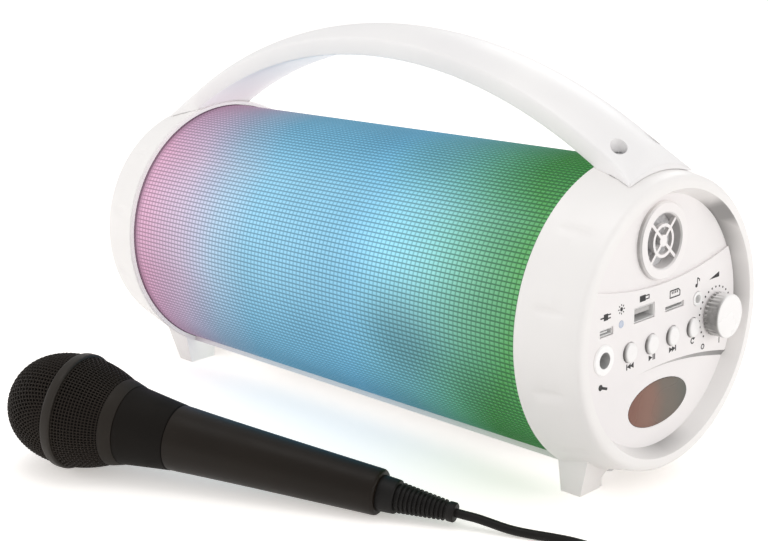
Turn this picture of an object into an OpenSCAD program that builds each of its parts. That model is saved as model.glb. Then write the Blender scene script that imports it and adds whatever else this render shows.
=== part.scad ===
// Portable tube loudspeaker with an inner light show, a fixed carry handle, a control panel
// at its right end and a corded microphone lying on the floor in front of it.
// Units are millimetres. +X runs along the tube to the control panel, -Y is the front and +Z is up.
// The origin is on the floor, under the middle of the speaker and its microphone together.

/* [Tube] */
// Length of the speaker over both end caps
body_len = 310; // [280:1:340]
// Height of the tube's axis above the floor
axis_z = 69; // [69:0.5:74]
// Outer radius of the perforated grille
grille_r = 63; // [58:0.5:63.5]
// Thickness of the grille sheet
grille_t = 0.8; // [0.6:0.1:1.2]
// Wall of the light diffuser tube
diffuser_t = 1.8; // [1.4:0.1:2.6]
// How far the white lower shell stands out past the grille
shell_proud = 2.2; // [1.2:0.1:2.3]
// Half of the angle that the lower shell takes of the circle
shell_half_angle = 27.5; // [24:0.5:32]
// Gap between parts that are seated in each other
seat_gap = 0.2; // [0.1:0.05:0.3]

/* [End caps] */
// Length of an end cap along the tube
cap_len = 28.4; // [26:0.2:34]
// Outer radius of a cap's front face
bezel_out_r = 60; // [59:0.5:62]
// Inner radius of a cap's front face
bezel_in_r = 55; // [54:0.5:56]
// Wall of the cap outside the grille, at its rim
rim_wall = 2.3; // [1.6:0.1:3]
// How deep the tube sits in a cap
socket_depth = 6; // [5:0.5:9]
// How far the panel is set back behind the cap's face
recess_d = 7; // [5:0.5:9]
// Radius of the opening in front of the panel
recess_r = 52; // [50.5:0.5:52.5]
// Rounding of the cap's outer front edge
cap_round = 3; // [1:0.25:4]
// Number of shallow flutes round a cap
flute_count = 12; // [6:1:16]
// Length of a flute
flute_len = 15; // [8:1:18]
// Depth of a flute
flute_depth = 0.6; // [0.3:0.1:0.9]

/* [Feet] */
// Length of a foot along the tube, on the floor
foot_len = 10; // [7:0.5:13]
// Width of a foot across the tube, on the floor
foot_w = 15; // [10:0.5:18]
// Distance of a foot's middle from the tube's middle plane
foot_y = 26.5; // [24:0.5:30]
// Distance of a foot's middle from the cap's face
foot_in = 25; // [21:0.5:26]
// How far a foot spreads on each side where it meets the cap
foot_flare = 3; // [1:0.25:4]

/* [Handle] */
// Height of the handle's top over the tube's axis
handle_top = 111.7; // [105:0.1:125]
// Height of the handle's side edges over the tube's axis
handle_edge = 106.9; // [102:0.1:108]
// Height of the handle's underside over the tube's axis
handle_under = 98.8; // [92:0.1:101]
// Height of the handle's top over the tube's axis at the caps' faces
handle_top_end = 60.9; // [58:0.1:64]
// Height of the handle's side edges over the tube's axis at the caps' faces
handle_edge_end = 53.6; // [52:0.1:55]
// Height of the handle's underside over the tube's axis at the caps' faces
handle_under_end = 44; // [42:0.1:48]
// Half width of the handle
handle_half_w = 17.5; // [14:0.5:19]
// Half width of the handle at its ends
handle_foot_half_w = 20.5; // [18.5:0.5:23]
// Length of the part of the handle that widens
handle_flare_len = 14; // [10:1:20]
// Distance of the handle's ends from the caps' faces
handle_inset = 7.5; // [6:0.25:9]
// Length of the handle's rounded end
handle_nose_len = 7; // [5:0.5:9]
// Share of the crown's height that is lost at the very end
handle_nose_drop = 0.42; // [0.35:0.01:0.45]
// Distance of the handle's screws from the cap's face
handle_screw_in = 20; // [15:0.5:21]
// Distance of the handle's screws from the middle plane
handle_screw_y = 11; // [10:0.5:14]

/* [Control panel] */
// Thickness of the panel
panel_t = 2.5; // [2:0.1:3]
// Radius of the panel
panel_r = 54; // [53:0.25:55]
// Height of the raised middle band
band_h = 1.2; // [0.8:0.1:1.6]
// Lower edge of the raised band at the middle of the panel
band_low = -17.7; // [-19:0.1:-17]
// Upper edge of the raised band at the middle of the panel
band_high = 16; // [14.5:0.1:17]
// Radius of the arc of the band's upper edge
band_high_arc = 170; // [150:5:250]
// Radius of the arc of the band's lower edge
band_low_arc = 195; // [160:5:260]
// Distance between the board and the panel's back
board_gap = 13.5; // [13:0.1:15]
// Thickness of the circuit boards
board_t = 1.6; // [1:0.1:2]
// Radius of a panel screw's circle
panel_screw_r = 56; // [55.5:0.1:56.3]

/* [Buttons] */
// Distance between two buttons
button_pitch = 14.35; // [11:0.05:14.6]
// Place of the first button across the panel
button_first_y = -21.4; // [-22:0.1:-20.8]
// Place of the row of buttons up the panel
button_z = -7.4; // [-8:0.1:-7]
// Radius of a button
button_r = 4.05; // [3:0.05:4.3]
// How far a button stands out of the band
button_proud = 1.3; // [0.9:0.1:2]
// How far a button travels
button_travel = 0.8; // [0.3:0.1:1]
// Radius of a button's stem
stem_r = 1.8; // [1.2:0.1:2.2]

/* [Volume knob] */
// Place of the knob across the panel
knob_y = 38; // [37.5:0.25:39]
// Place of the knob up the panel
knob_z = -5; // [-7:0.25:-4]
// Radius of the knob
knob_r = 9.4; // [8.5:0.1:9.6]
// How far the knob stands out past the cap's face
knob_proud = 1.6; // [0.5:0.1:4]
// Number of ridges round the knob
knob_ridges = 30; // [20:1:36]
// Radius of the knob's shaft
shaft_r = 3; // [2.5:0.1:3.2]
// Radial running clearance of the shaft in its bushing
shaft_clear = 0.05; // [0.02:0.01:0.08]

/* [Sockets] */
// Place of the microphone socket across the panel
jack_y = -38.2; // [-39:0.1:-37.5]
// Place of the microphone socket up the panel
jack_z = -6.4; // [-8:0.1:-6]
// Radius of the microphone socket's bore
jack_bore_r = 3.25; // [3.22:0.01:3.35]
// Depth of the microphone socket's bore
jack_depth = 31; // [28:0.5:33]
// Radius of the microphone socket's white ring
jack_ring_r = 6.15; // [5.8:0.05:6.5]
// Place of the line socket across the panel
aux_y = 24.6; // [24:0.1:25.4]
// Place of the line socket up the panel
aux_z = 4.3; // [4:0.1:5.5]
// Radius of the line socket's bore
aux_bore_r = 1.8; // [1.78:0.01:1.9]
// Depth of the line socket's bore
aux_depth = 14; // [12:0.5:15]
// Place of the big data socket across the panel
usb_y = -12; // [-12.5:0.1:-11.2]
// Place of the big data socket up the panel
usb_z = 6.7; // [6.2:0.1:7.5]
// Place of the card slot across the panel
card_y = 8.6; // [8:0.1:9.5]
// Place of the card slot up the panel
card_z = 4.8; // [4:0.1:6]
// Place of the charging socket across the panel
charge_y = -36.3; // [-37:0.1:-35.6]
// Place of the charging socket up the panel
charge_z = 4.4; // [4:0.1:5.5]
// Place of the indicator light across the panel
pilot_y = -27; // [-27.5:0.1:-26.4]
// Place of the indicator light up the panel
pilot_z = 5.5; // [5:0.1:7]
// Radius of the indicator light
pilot_r = 1.5; // [1:0.1:1.8]

/* [Tweeter and window] */
// Height of the tweeter over the panel's middle
tweeter_z = 33.7; // [33.5:0.1:34.5]
// Outer radius of the tweeter's ring
tweeter_ring_r = 16; // [14:0.25:16.25]
// Radius of the tweeter's opening
tweeter_open_r = 11.2; // [9.5:0.1:11.5]
// Height of the light window under the panel's middle
window_z = -34.3; // [-35:0.1:-34]
// Half width of the light window
window_half_w = 20; // [14:0.5:21]
// Half height of the light window
window_half_h = 9.5; // [7:0.25:10]

/* [Woofer end] */
// Radius of the opening in the left panel
woofer_open_r = 40; // [34:0.5:41]
// Radius of the woofer's frame
woofer_r = 46; // [43.5:0.5:46.5]
// Depth of the woofer behind the left panel
woofer_depth = 31; // [26:1:33]

/* [Microphone] */
// Radius of the ring round the microphone's head
ring_r = 25.3; // [25:0.1:28]
// Width of that ring
ring_w = 4.6; // [3:0.1:6]
// Radius of the head's mesh beside the ring
mesh_r = 24.2; // [23:0.1:24.6]
// Length of the head in front of the ring's middle
head_len = 31.5; // [28:0.5:34]
// Place of the collar behind the ring's middle
collar_s = 21.9; // [20:0.1:25]
// Radius of the collar
collar_r = 18.5; // [17:0.1:19.5]
// Place of the seam between neck and grip
seam_s = 50.6; // [45:0.1:56]
// Radius of the neck and grip at their seam
seam_r = 14.1; // [13:0.1:15]
// Place of the grip's end
tail_s = 144.8; // [130:0.1:150]
// Radius of the grip at its end
tail_r = 9.4; // [8.8:0.1:10]
// Wall of the grip
grip_wall = 1.8; // [1.2:0.1:2]
// Length of the strain relief past the grip
relief_len = 31.9; // [28:0.1:34]
// Radius of the strain relief where the ribs start
relief_r = 6.2; // [5.4:0.1:6.6]
// Number of ribs on the strain relief
rib_count = 11; // [6:1:13]
// Distance of the microphone's ring from the tube's axis, forwards
mic_forward = 151.5; // [148:0.5:170]
// Place of the microphone's ring along the tube, from its middle
mic_along = -46.9; // [-60:0.1:-40]
// Heading of the microphone's tail, from the tube's direction towards the tube
mic_heading = 21.3; // [10:0.1:24]

/* [Cord] */
// Diameter of the microphone's cord
cord_d = 3.6; // [3.4:0.1:3.8]
// Loops in each layer of the coil
coil_loops = 3; // [2:1:3]
// Layers of the coil
coil_layers = 4; // [2:2:4]
// Radius of the coil at the middle of its turns
coil_mid_r = 21; // [19:0.5:23]
// Free gap between two turns of the coil
coil_gap = 0.7; // [0.6:0.05:1]
// Thickness of the tie round the coil
tie_t = 0.6; // [0.5:0.1:1]
// Width of the tie
tie_w = 6; // [4:0.5:9]

/* [Plug] */
// Radius of the plug's pin
plug_r = 3.175; // [3.1:0.005:3.2]
// Length of the pin's sleeve
sleeve_len = 20; // [18:0.5:22]
// Radius of the plug's shell
plug_shell_r = 5.5; // [5:0.1:6.5]
// Length of the plug's shell
plug_shell_len = 28; // [22:1:34]

/* [Hidden] */

$fn = 64;
eps = 0.5;              // how far a cutter runs past a face
fit = 0.3;              // free gap round a part that moves or is fitted by hand
screw_gap = 0.05;       // gap round a screw in its pilot hole
m3_r = 1.5;             // shank radius of the case screws
m3_head_r = 2.8;
m2_r = 1.1;             // shank radius of the board and panel screws
m2_head_r = 2.1;
head_t = 1.6;

white = [0.96, 0.95, 0.94];
board_green = [0.10, 0.35, 0.20];
steel = [0.75, 0.76, 0.78];
mic_black = [0.06, 0.06, 0.065];

// Sizes worked out from the ones above, in the speaker's own lengthwise and radial directions
half_len = body_len / 2;
rim_r = grille_r + seat_gap + 0.2 + rim_wall;
socket_r = grille_r + seat_gap + 0.2;
socket_x = -cap_len + socket_depth;
grille_in_r = grille_r - grille_t;
diffuser_r = grille_in_r - 0.4;
diffuser_in_r = diffuser_r - diffuser_t;
cap_bore_r = diffuser_in_r - 2;
shell_in_r = diffuser_r + 0.3;
tube_half = half_len + socket_x - fit;
shell_half = half_len - cap_len - seat_gap;
foot_clear_r = grille_r + shell_proud + seat_gap;   // the feet stay outside the lower shell
cap_slope = atan((rim_r - bezel_out_r) / cap_len);
function cap_r_at(x) = bezel_out_r + (rim_r - bezel_out_r) * -x / cap_len;

panel_x = -recess_d;                 // front of the flat panel
panel_back = panel_x - panel_t;
band_x = panel_x + band_h;           // front of the raised band
board_x = panel_back - board_gap;    // front of the control board
ear_r = 4;                           // panel ears round its screws
ear_ring = panel_r;
panel_seat_r = panel_r + fit;
bulkhead_x = panel_back - woofer_depth - 3.5;
bulkhead_t = 2;
bulkhead_r = diffuser_in_r - seat_gap;
bar_half = half_len + bulkhead_x - bulkhead_t;

// The speaker and the microphone share the middle of their common box
speaker_x = -knob_proud / 2;
speaker_y = (mic_forward + ring_r - rim_r) / 2;
mic_tilt = atan((ring_r - tail_r) / (tail_s - ring_w / 2));
mic_rise = ring_r * cos(mic_tilt) + ring_w / 2 * sin(mic_tilt);
mic_x = speaker_x + mic_along;
mic_y = speaker_y - mic_forward;
relief_end = tail_s + relief_len;

module about_x() rotate([0, 90, 0]) children();
module yz(h) rotate([90, 0, 90]) linear_extrude(h) children();
module rod_x(x0, x1, r, y = 0, z = 0) translate([x0, y, z]) rotate([0, 90, 0]) cylinder(h = x1 - x0, r = r);
module pipe_x(x0, x1, r, r_in) difference() {
    rod_x(x0, x1, r);
    rod_x(x0 - eps, x1 + eps, r_in);
}
module box_x(x0, x1, y, z, w, h) translate([x0, y - w / 2, z - h / 2]) cube([x1 - x0, w, h]);
module speaker() translate([speaker_x, speaker_y, axis_z]) children();
module right_end() speaker() translate([half_len, 0, 0]) children();
module left_end() speaker() translate([-half_len, 0, 0]) mirror([1, 0, 0]) children();
module both_ends() {
    right_end() children();
    left_end() children();
}
module microphone() translate([mic_x, mic_y, mic_rise]) rotate([0, mic_tilt, mic_heading]) children();
function arc_points(c, r, a0, a1, n) =
    [for (i = [0:n]) let (a = a0 + (a1 - a0) * i / n) [c[0] + r * cos(a), c[1] + r * sin(a)]];
function total(v, i = 0) = i < len(v) ? v[i] + total(v, i + 1) : 0;

// ---- Tube sweeps: a closed solid from rings of points ----
function unit(v) = v / norm(v);
function tangent(p, i) = unit(p[min(i + 1, len(p) - 1)] - p[max(i - 1, 0)]);
function ring_points(p, i, r, n) =
    let (t = i == 0 ? unit(p[1] - p[0]) : i == len(p) - 1 ? unit(p[i] - p[i - 1]) : tangent(p, i),
         side = unit(cross(t, [0, 0, 1])),
         up = cross(side, t))
    [for (k = [0:n - 1]) let (a = 360 * (k + 0.5) / n) p[i] + r * (cos(a) * side + sin(a) * up)];
module loft(rings) {
    n = len(rings[0]);
    m = len(rings);
    pts = [for (ring = rings) each ring];
    faces = concat(
        [for (i = [0:m - 2], k = [0:n - 1]) let (a = i * n + k, b = i * n + (k + 1) % n) [a, b, b + n]],
        [for (i = [0:m - 2], k = [0:n - 1]) let (a = i * n + k, b = i * n + (k + 1) % n) [a, b + n, a + n]],
        [[for (k = [n - 1:-1:0]) k]],
        [[for (k = [0:n - 1]) (m - 1) * n + k]]);
    polyhedron(pts, faces, convexity = 10);
}
module tube_along(p, d, n) loft([for (i = [0:len(p) - 1]) ring_points(p, i, d / 2, n)]);

// ---- End caps ----
function cap_outline() =
    let (c = [bezel_out_r - cap_round * (1 - sin(cap_slope)) / cos(cap_slope), -cap_round])
    concat([[0, 0]], arc_points(c, cap_round, 90, cap_slope, 5),
        [[rim_r - 0.15, -cap_len + 0.8], [rim_r - 0.8, -cap_len], [0, -cap_len]]);
module cap_hollow() about_x() rotate_extrude($fn = 128) polygon([
    [0, eps], [bezel_in_r + eps * (bezel_in_r - recess_r) / recess_d, eps], [recess_r, panel_x],
    [panel_seat_r, panel_x], [panel_seat_r, panel_back - 1],
    [cap_bore_r, panel_back - 4], [cap_bore_r, socket_x],
    [socket_r, socket_x], [socket_r, -cap_len - 0.05], [foot_clear_r, -cap_len - 0.05],
    [foot_clear_r, -foot_in - foot_len], [0, -foot_in - foot_len]]);
module flute() {
    // a shallow spindle of revolution laid along the cap's side
    bend_r = flute_len * flute_len / 8 / flute_depth;
    wide = 5;
    mid_x = -cap_len * 0.52;
    translate([mid_x, 0, cap_r_at(mid_x) - flute_depth]) rotate([0, 90 + cap_slope, 0])
        translate([-wide, 0, 0]) rotate_extrude($fn = 48)
            polygon(concat([[0, -flute_len / 2]],
                arc_points([wide - bend_r, 0], bend_r, -asin(flute_len / 2 / bend_r),
                    asin(flute_len / 2 / bend_r), 8),
                [[0, flute_len / 2]]));
}
module foot(side) {
    sole = [foot_len, foot_w];
    top = [foot_len + 2 * foot_flare, foot_w + 2 * foot_flare];
    hull() {
        translate([-foot_in - sole[0] / 2, side * foot_y - sole[1] / 2, -axis_z]) cube([sole[0], sole[1], 0.1]);
        translate([-foot_in - sole[0] / 2 + 0.5, side * foot_y - top[1] / 2, -axis_z + 20])
            cube([top[0], top[1], 0.1]);
    }
}
module cap_lightened() {
    difference() {
        union() {
            about_x() rotate_extrude($fn = 128) polygon(cap_outline());
            foot(1);
            foot(-1);
        }
        cap_hollow();
        for (k = [0:flute_count - 1]) rotate([360 * (k + 0.5) / flute_count, 0, 0]) flute();
        for (a = [45:90:315]) {
            rotate([a, 0, 0]) rod_x(panel_back - head_t - 2, panel_x + 0.05, ear_r + fit, 0, ear_ring);
            rotate([a, 0, 0]) rod_x(panel_x - eps, panel_x + 4.5, m2_r + screw_gap, 0, panel_screw_r);
        }
        for (s = [-1, 1]) {
            translate([-handle_screw_in, s * handle_screw_y, cap_bore_r - 6])
                cylinder(h = 16, r = m3_r + screw_gap);
            translate([shell_screw_x, s * shell_screw_y, shell_seat_z]) cylinder(h = 20, r = m3_r + 0.1);
            translate([shell_screw_x, s * shell_screw_y, shell_seat_z - 10])
                cylinder(h = 10, r = m3_head_r + fit);
        }
    }
}
module left_cap() color(white) left_end() cap_lightened();
module right_cap() color(white) right_end() cap_lightened();

// ---- Tube: lower shell, grille, diffuser and the screws that hold the caps on ----
shell_screw_x = -cap_len + socket_depth / 2;
shell_screw_y = 9;
shell_seat_z = -sqrt(rim_r * rim_r - pow(shell_screw_y + m3_head_r, 2)) + 0.2;
shell_boss_r = 3;
shell_boss_top = -diffuser_in_r + 6;
shell_boss_base = -sqrt(pow(socket_r - seat_gap, 2) - pow(shell_screw_y + shell_boss_r, 2)) + 0.1;
module bottom_wedge(half_angle) {
    reach = 2 * rim_r;
    translate([-half_len, 0, 0]) yz(body_len)
        polygon([[0, 0], [-reach * tan(half_angle), -reach], [reach * tan(half_angle), -reach]]);
}
module lower_shell() color(white) speaker() difference() {
    union() {
        intersection() {
            union() {
                pipe_x(-shell_half, shell_half, grille_r + shell_proud, shell_in_r);
                pipe_x(-tube_half, tube_half, socket_r - seat_gap, shell_in_r);
            }
            bottom_wedge(shell_half_angle);
        }
        for (e = [-1, 1], s = [-1, 1])
            translate([e * (half_len + shell_screw_x), s * shell_screw_y, shell_boss_base])
                cylinder(h = shell_boss_top - shell_boss_base, r = shell_boss_r);
    }
    for (e = [-1, 1], s = [-1, 1])
        translate([e * (half_len + shell_screw_x), s * shell_screw_y, -rim_r])
            cylinder(h = rim_r + shell_boss_top - 1.5, r = m3_r + screw_gap);
}
module mesh_grille() color([0.25, 0.55, 0.7]) speaker() difference() {
    pipe_x(-tube_half, tube_half, grille_r, grille_in_r);
    bottom_wedge(shell_half_angle + 0.3);
}
module diffuser_tube() color([0.8, 0.9, 1]) speaker() difference() {
    pipe_x(-tube_half, tube_half, diffuser_r, diffuser_in_r);
    for (e = [-1, 1], s = [-1, 1])
        translate([e * (half_len + shell_screw_x), s * shell_screw_y, -rim_r])
            cylinder(h = rim_r, r = shell_boss_r + fit);
}
module shell_screws() color(steel) both_ends() for (s = [-1, 1])
    translate([shell_screw_x, s * shell_screw_y, shell_seat_z]) {
        translate([0, 0, -head_t]) cylinder(h = head_t, r = m3_head_r);
        cylinder(h = shell_boss_top - 2.5 - shell_seat_z, r = m3_r);
    }

// ---- Handle: a lofted arch, cut to sit on both caps ----
function arch(x, mid, end) = let (drop = mid - end, r = (half_len * half_len + drop * drop) / 2 / drop)
    mid - r + sqrt(r * r - x * x);
handle_end_x = half_len - handle_inset;
handle_body_x = handle_end_x - handle_nose_len;
function flare(x) = max(0, min(1, (abs(x) - handle_end_x + handle_flare_len) / handle_flare_len));
function handle_w(x) = handle_half_w + (handle_foot_half_w - handle_half_w) * pow(flare(x), 1.6);
function nose(x) = let (t = max(0, min(1, (abs(x) - handle_body_x) / handle_nose_len)))
    1 - handle_nose_drop * (1 - sqrt(1 - t * t));
function handle_section(x) =
    let (w = handle_w(x),
         low = arch(x, handle_under, handle_under_end),
         edge = arch(x, handle_edge, handle_edge_end),
         crown = (arch(x, handle_top, handle_top_end) - edge) * nose(x))
    concat([[x, -w, low], [x, -w, edge]],
        [for (k = [-3:3]) [x, w * k / 4, edge + crown * (1 - k * k / 16)]],
        [[x, w, edge], [x, w, low]]);
handle_steps = 32;
handle_nose_steps = 4;
module handle() color(white) {
    nose_xs = [for (i = [1:handle_nose_steps])
        handle_body_x + handle_nose_len * sin(90 * i / handle_nose_steps)];
    xs = concat([for (i = [handle_nose_steps - 1:-1:0]) -nose_xs[i]],
        [for (i = [0:handle_steps]) handle_body_x * (2 * i / handle_steps - 1)], nose_xs);
    speaker() difference() {
        loft([for (x = xs) handle_section(x)]);
        for (e = [-1, 1]) {
            translate([e * half_len, 0, 0]) mirror([e < 0 ? 1 : 0, 0, 0]) {
                about_x() rotate_extrude($fn = 128) polygon([
                    [0, eps], [bezel_out_r + seat_gap, eps],
                    [bezel_out_r + seat_gap, 0], [rim_r + seat_gap, -cap_len],
                    [rim_r + seat_gap, -cap_len - 20], [0, -cap_len - 20]]);
                for (s = [-1, 1]) translate([-handle_screw_in, s * handle_screw_y, 0]) {
                    cylinder(h = handle_edge, r = m3_r + 0.2);
                    translate([0, 0, handle_seat_z]) cylinder(h = handle_edge, r = m3_head_r + 0.6);
                }
            }
        }
    }
}
handle_seat_z = cap_r_at(-handle_screw_in) + 3;
module handle_screws() color(steel) both_ends() for (s = [-1, 1])
    translate([-handle_screw_in, s * handle_screw_y, 0]) {
        translate([0, 0, handle_seat_z]) difference() {
            cylinder(h = 2, r = m3_head_r);
            translate([-0.35, -2, 1.2]) cube([0.7, 4, 1]);
            translate([-2, -0.35, 1.2]) cube([4, 0.7, 1]);
        }
        translate([0, 0, cap_bore_r - 3]) cylinder(h = handle_seat_z - cap_bore_r + 3, r = m3_r);
    }

// ---- Control panel ----
function button_y(i) = button_first_y + i * button_pitch;
function button_ys() = [for (i = [0:3]) button_y(i)];
button_hole_r = button_r + 0.25;
pot_hole_r = shaft_r + 0.5 + 0.1;
usb_w = 13.1;
usb_h = 5.7;
card_w = 12.4;
card_h = 1.9;
charge_w = 7.8;
charge_h = 2.7;
jack_barrel_r = jack_ring_r - 0.5;
aux_barrel_r = aux_bore_r + 1.2;
lamp_post_y = 12;
board_post = [[-43, 11], [44, 11], [-20, -20.5], [44, -20.5]];
board_post_r = 3;
board_edge = 4;                      // from a post's middle to the board's edge
jack_body = [14, 13];                // width and height of the microphone socket's body
module ellipse(a, b, n = 40) polygon([for (i = [0:n - 1]) [a * cos(360 * i / n), b * sin(360 * i / n)]]);
module band_outline() intersection() {
    circle(r = recess_r - 0.4, $fn = 128);
    difference() {
        translate([-panel_r, band_low - 30]) square([2 * panel_r, band_high - band_low + 60]);
        translate([0, band_low - band_low_arc]) circle(r = band_low_arc, $fn = 200);
        translate([0, band_high + band_high_arc]) circle(r = band_high_arc, $fn = 200);
    }
}
module slot_cut(y, z, w, h) box_x(board_x + 1, 0, y, z, w + 2 * fit, h + 2 * fit);
module panel_disc() translate([panel_back, 0, 0]) yz(panel_t) {
    circle(panel_r);
    for (a = [45:90:315]) rotate(a) translate([ear_ring, 0]) circle(ear_r);
}
module ear_holes() for (a = [45:90:315]) rotate([a, 0, 0])
    rod_x(panel_back - eps, panel_x + eps, m2_r + 0.1, 0, panel_screw_r);
module control_panel() color(white) right_end() difference() {
    union() {
        panel_disc();
        translate([panel_x - 0.1, 0, 0]) yz(band_h + 0.1) band_outline();
        for (p = board_post) rod_x(board_x, panel_back + 0.1, board_post_r, p[0], p[1]);
        for (s = [-1, 1]) rod_x(panel_back - 5, panel_back + 0.1, 2.4, s * lamp_post_y, window_z - 14);
    }
    ear_holes();
    for (p = board_post) rod_x(board_x - eps, board_x + 8, m2_r + screw_gap, p[0], p[1]);
    rod_x(panel_back - eps, 0, tweeter_neck_r + fit, 0, tweeter_z);
    translate([panel_back - eps, 0, window_z]) yz(10)
        ellipse(window_half_w + seat_gap, window_half_h + seat_gap);
    for (y = button_ys()) rod_x(panel_back - eps, 0, button_hole_r, y, button_z);
    rod_x(panel_back - eps, 0, pot_hole_r, knob_y, knob_z);
    rod_x(panel_back - eps, 0, jack_barrel_r + 0.15, jack_y, jack_z);
    rod_x(panel_back - eps, 0, aux_barrel_r + 0.15, aux_y, aux_z);
    rod_x(panel_back - eps, 0, pilot_r + 0.1, pilot_y, pilot_z);
    slot_cut(usb_y, usb_z, usb_w, usb_h);
    slot_cut(card_y, card_z, card_w, card_h);
    slot_cut(charge_y, charge_z, charge_w, charge_h);
}
module ear_screws() for (a = [45:90:315]) rotate([a, 0, 0]) {
    rod_x(panel_back - head_t, panel_back, m2_head_r, 0, panel_screw_r);
    rod_x(panel_back - 0.1, panel_x + 4, m2_r, 0, panel_screw_r);
}
module panel_screws() color(steel) both_ends() ear_screws();

// ---- Tweeter ----
tweeter_neck_r = tweeter_open_r + 2.4;
tweeter_neck_x = panel_back - 1;
tweeter_rim_t = 2;
module tweeter_grille() color(white) right_end() translate([0, 0, tweeter_z]) {
    pipe_x(tweeter_neck_x, panel_x + 0.1, tweeter_neck_r, tweeter_open_r);
    about_x() rotate_extrude() polygon([[tweeter_open_r, panel_x], [tweeter_ring_r, panel_x],
        [tweeter_ring_r, panel_x + tweeter_rim_t - 0.7], [tweeter_ring_r - 0.7, panel_x + tweeter_rim_t],
        [tweeter_open_r + 0.6, panel_x + tweeter_rim_t], [tweeter_open_r, panel_x + tweeter_rim_t - 0.6]]);
    spoke_x = panel_x - 0.4;
    spoke_t = 1.6;
    spoke_w = 1.3;
    for (a = [45, 135]) rotate([a, 0, 0])
        box_x(spoke_x, spoke_x + spoke_t, 0, 0, 2 * tweeter_open_r + 0.8, spoke_w);
    pipe_x(spoke_x, spoke_x + spoke_t, tweeter_open_r * 0.62, tweeter_open_r * 0.62 - spoke_w);
    rod_x(spoke_x, spoke_x + spoke_t, 2.4);
}
module tweeter_driver() color([0.85, 0.86, 0.88]) right_end() translate([0, 0, tweeter_z]) {
    back = tweeter_neck_x - seat_gap;
    about_x() rotate_extrude() polygon([[0, back - 9], [9, back - 9], [9, back - 2], [tweeter_neck_r, back - 2],
        [tweeter_neck_r, back], [tweeter_open_r - 1.2, back], [tweeter_open_r - 2, back - 0.8],
        [8, back - 0.8], [7, back + 0.6], [5, back + 1.7], [2.5, back + 2.3], [0, back + 2.5]]);
}

// ---- Light window ----
window_x = panel_x + 0.1;
module window_lens() color([0.52, 0.44, 0.40]) right_end() translate([0, 0, window_z]) {
    translate([panel_back - 0.1, 0, 0]) yz(window_x - panel_back + 0.1) ellipse(window_half_w, window_half_h);
    translate([panel_back - 1.2, 0, 0]) yz(1.2) ellipse(window_half_w + 1.5, window_half_h + 1.5);
}
module window_lamp() right_end() {
    lamp_x = panel_back - 5 - board_t;
    color(board_green) difference() {
        box_x(lamp_x, lamp_x + board_t, 0, window_z - 8.5, 2 * lamp_post_y + 6, 17);
        for (s = [-1, 1]) rod_x(lamp_x - 1, lamp_x + board_t + 1, m2_r, s * lamp_post_y, window_z - 14);
    }
    color("white") for (s = [-1, 1]) box_x(lamp_x + board_t, lamp_x + board_t + 1.6, s * 6, window_z - 2, 5, 5);
}
module pilot_light() color([0.55, 0.7, 1]) right_end() {
    rod_x(board_x, band_x + 0.1, pilot_r, pilot_y, pilot_z);
    rod_x(board_x, panel_back - 0.5, pilot_r + 0.8, pilot_y, pilot_z);
}

// ---- Volume knob on its shaft ----
knob_back = band_x + 0.5;
knob_cap_t = 3.2;
knob_hub_r = shaft_r + 1.8;
nut_t = 1.8;
bushing_r = shaft_r + 0.5;
pot_r = 8.5;
pot_t = 8;
pot_back = panel_back - 0.2 - pot_t;
shaft_tip = knob_proud - 1.4;
module at_knob() right_end() translate([0, knob_y, knob_z]) children();
module volume_knob() color([0.93, 0.92, 0.91]) at_knob() difference() {
    about_x() rotate_extrude($fn = 96) polygon([[0, knob_back], [knob_r, knob_back],
        [knob_r, knob_proud - 0.8], [knob_r - 0.25, knob_proud - 0.25], [knob_r - 0.8, knob_proud],
        [0, knob_proud]]);
    about_x() rotate_extrude() polygon([[knob_hub_r, knob_back + nut_t + 0.8], [nut_r + 1, knob_back - eps],
        [knob_r - 1.6, knob_back - eps], [knob_r - 1.6, knob_proud - knob_cap_t],
        [knob_hub_r, knob_proud - knob_cap_t]]);
    rod_x(knob_back - eps, knob_back + nut_t + 0.8, nut_r + 1);
    rod_x(knob_back - eps, shaft_tip + 0.1, shaft_r + 0.02);
    for (k = [0:knob_ridges - 1]) rotate([360 * k / knob_ridges, 0, 0])
        rod_x(knob_back - eps, knob_proud - 1.6, 0.45, 0, knob_r + 0.1);
}
module pot_shaft() color(steel) at_knob() {
    rod_x(pot_back + 2.2, shaft_tip, shaft_r);
    rod_x(pot_back + 2.2, pot_back + 3.7, shaft_r + 2);
}
module potentiometer() color([0.4, 0.42, 0.44]) at_knob() difference() {
    union() {
        rod_x(pot_back, panel_back - 0.2, pot_r);
        rod_x(panel_back - 0.3, band_x + nut_t, bushing_r);
        box_x(board_x, pot_back + 2, 0, -3, 12, 9);
    }
    rod_x(pot_back + 1.6, pot_back + 4.3, shaft_r + 2.6);
    rod_x(pot_back + 1.6, 10, shaft_r + shaft_clear);
}
nut_r = bushing_r + 1.9;
module pot_nut() color(steel) at_knob() difference() {
    translate([band_x, 0, 0]) rotate([0, 90, 0]) cylinder(h = nut_t - 0.2, r = nut_r, $fn = 6);
    rod_x(band_x - eps, band_x + nut_t + eps, bushing_r + 0.05);
}

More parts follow.
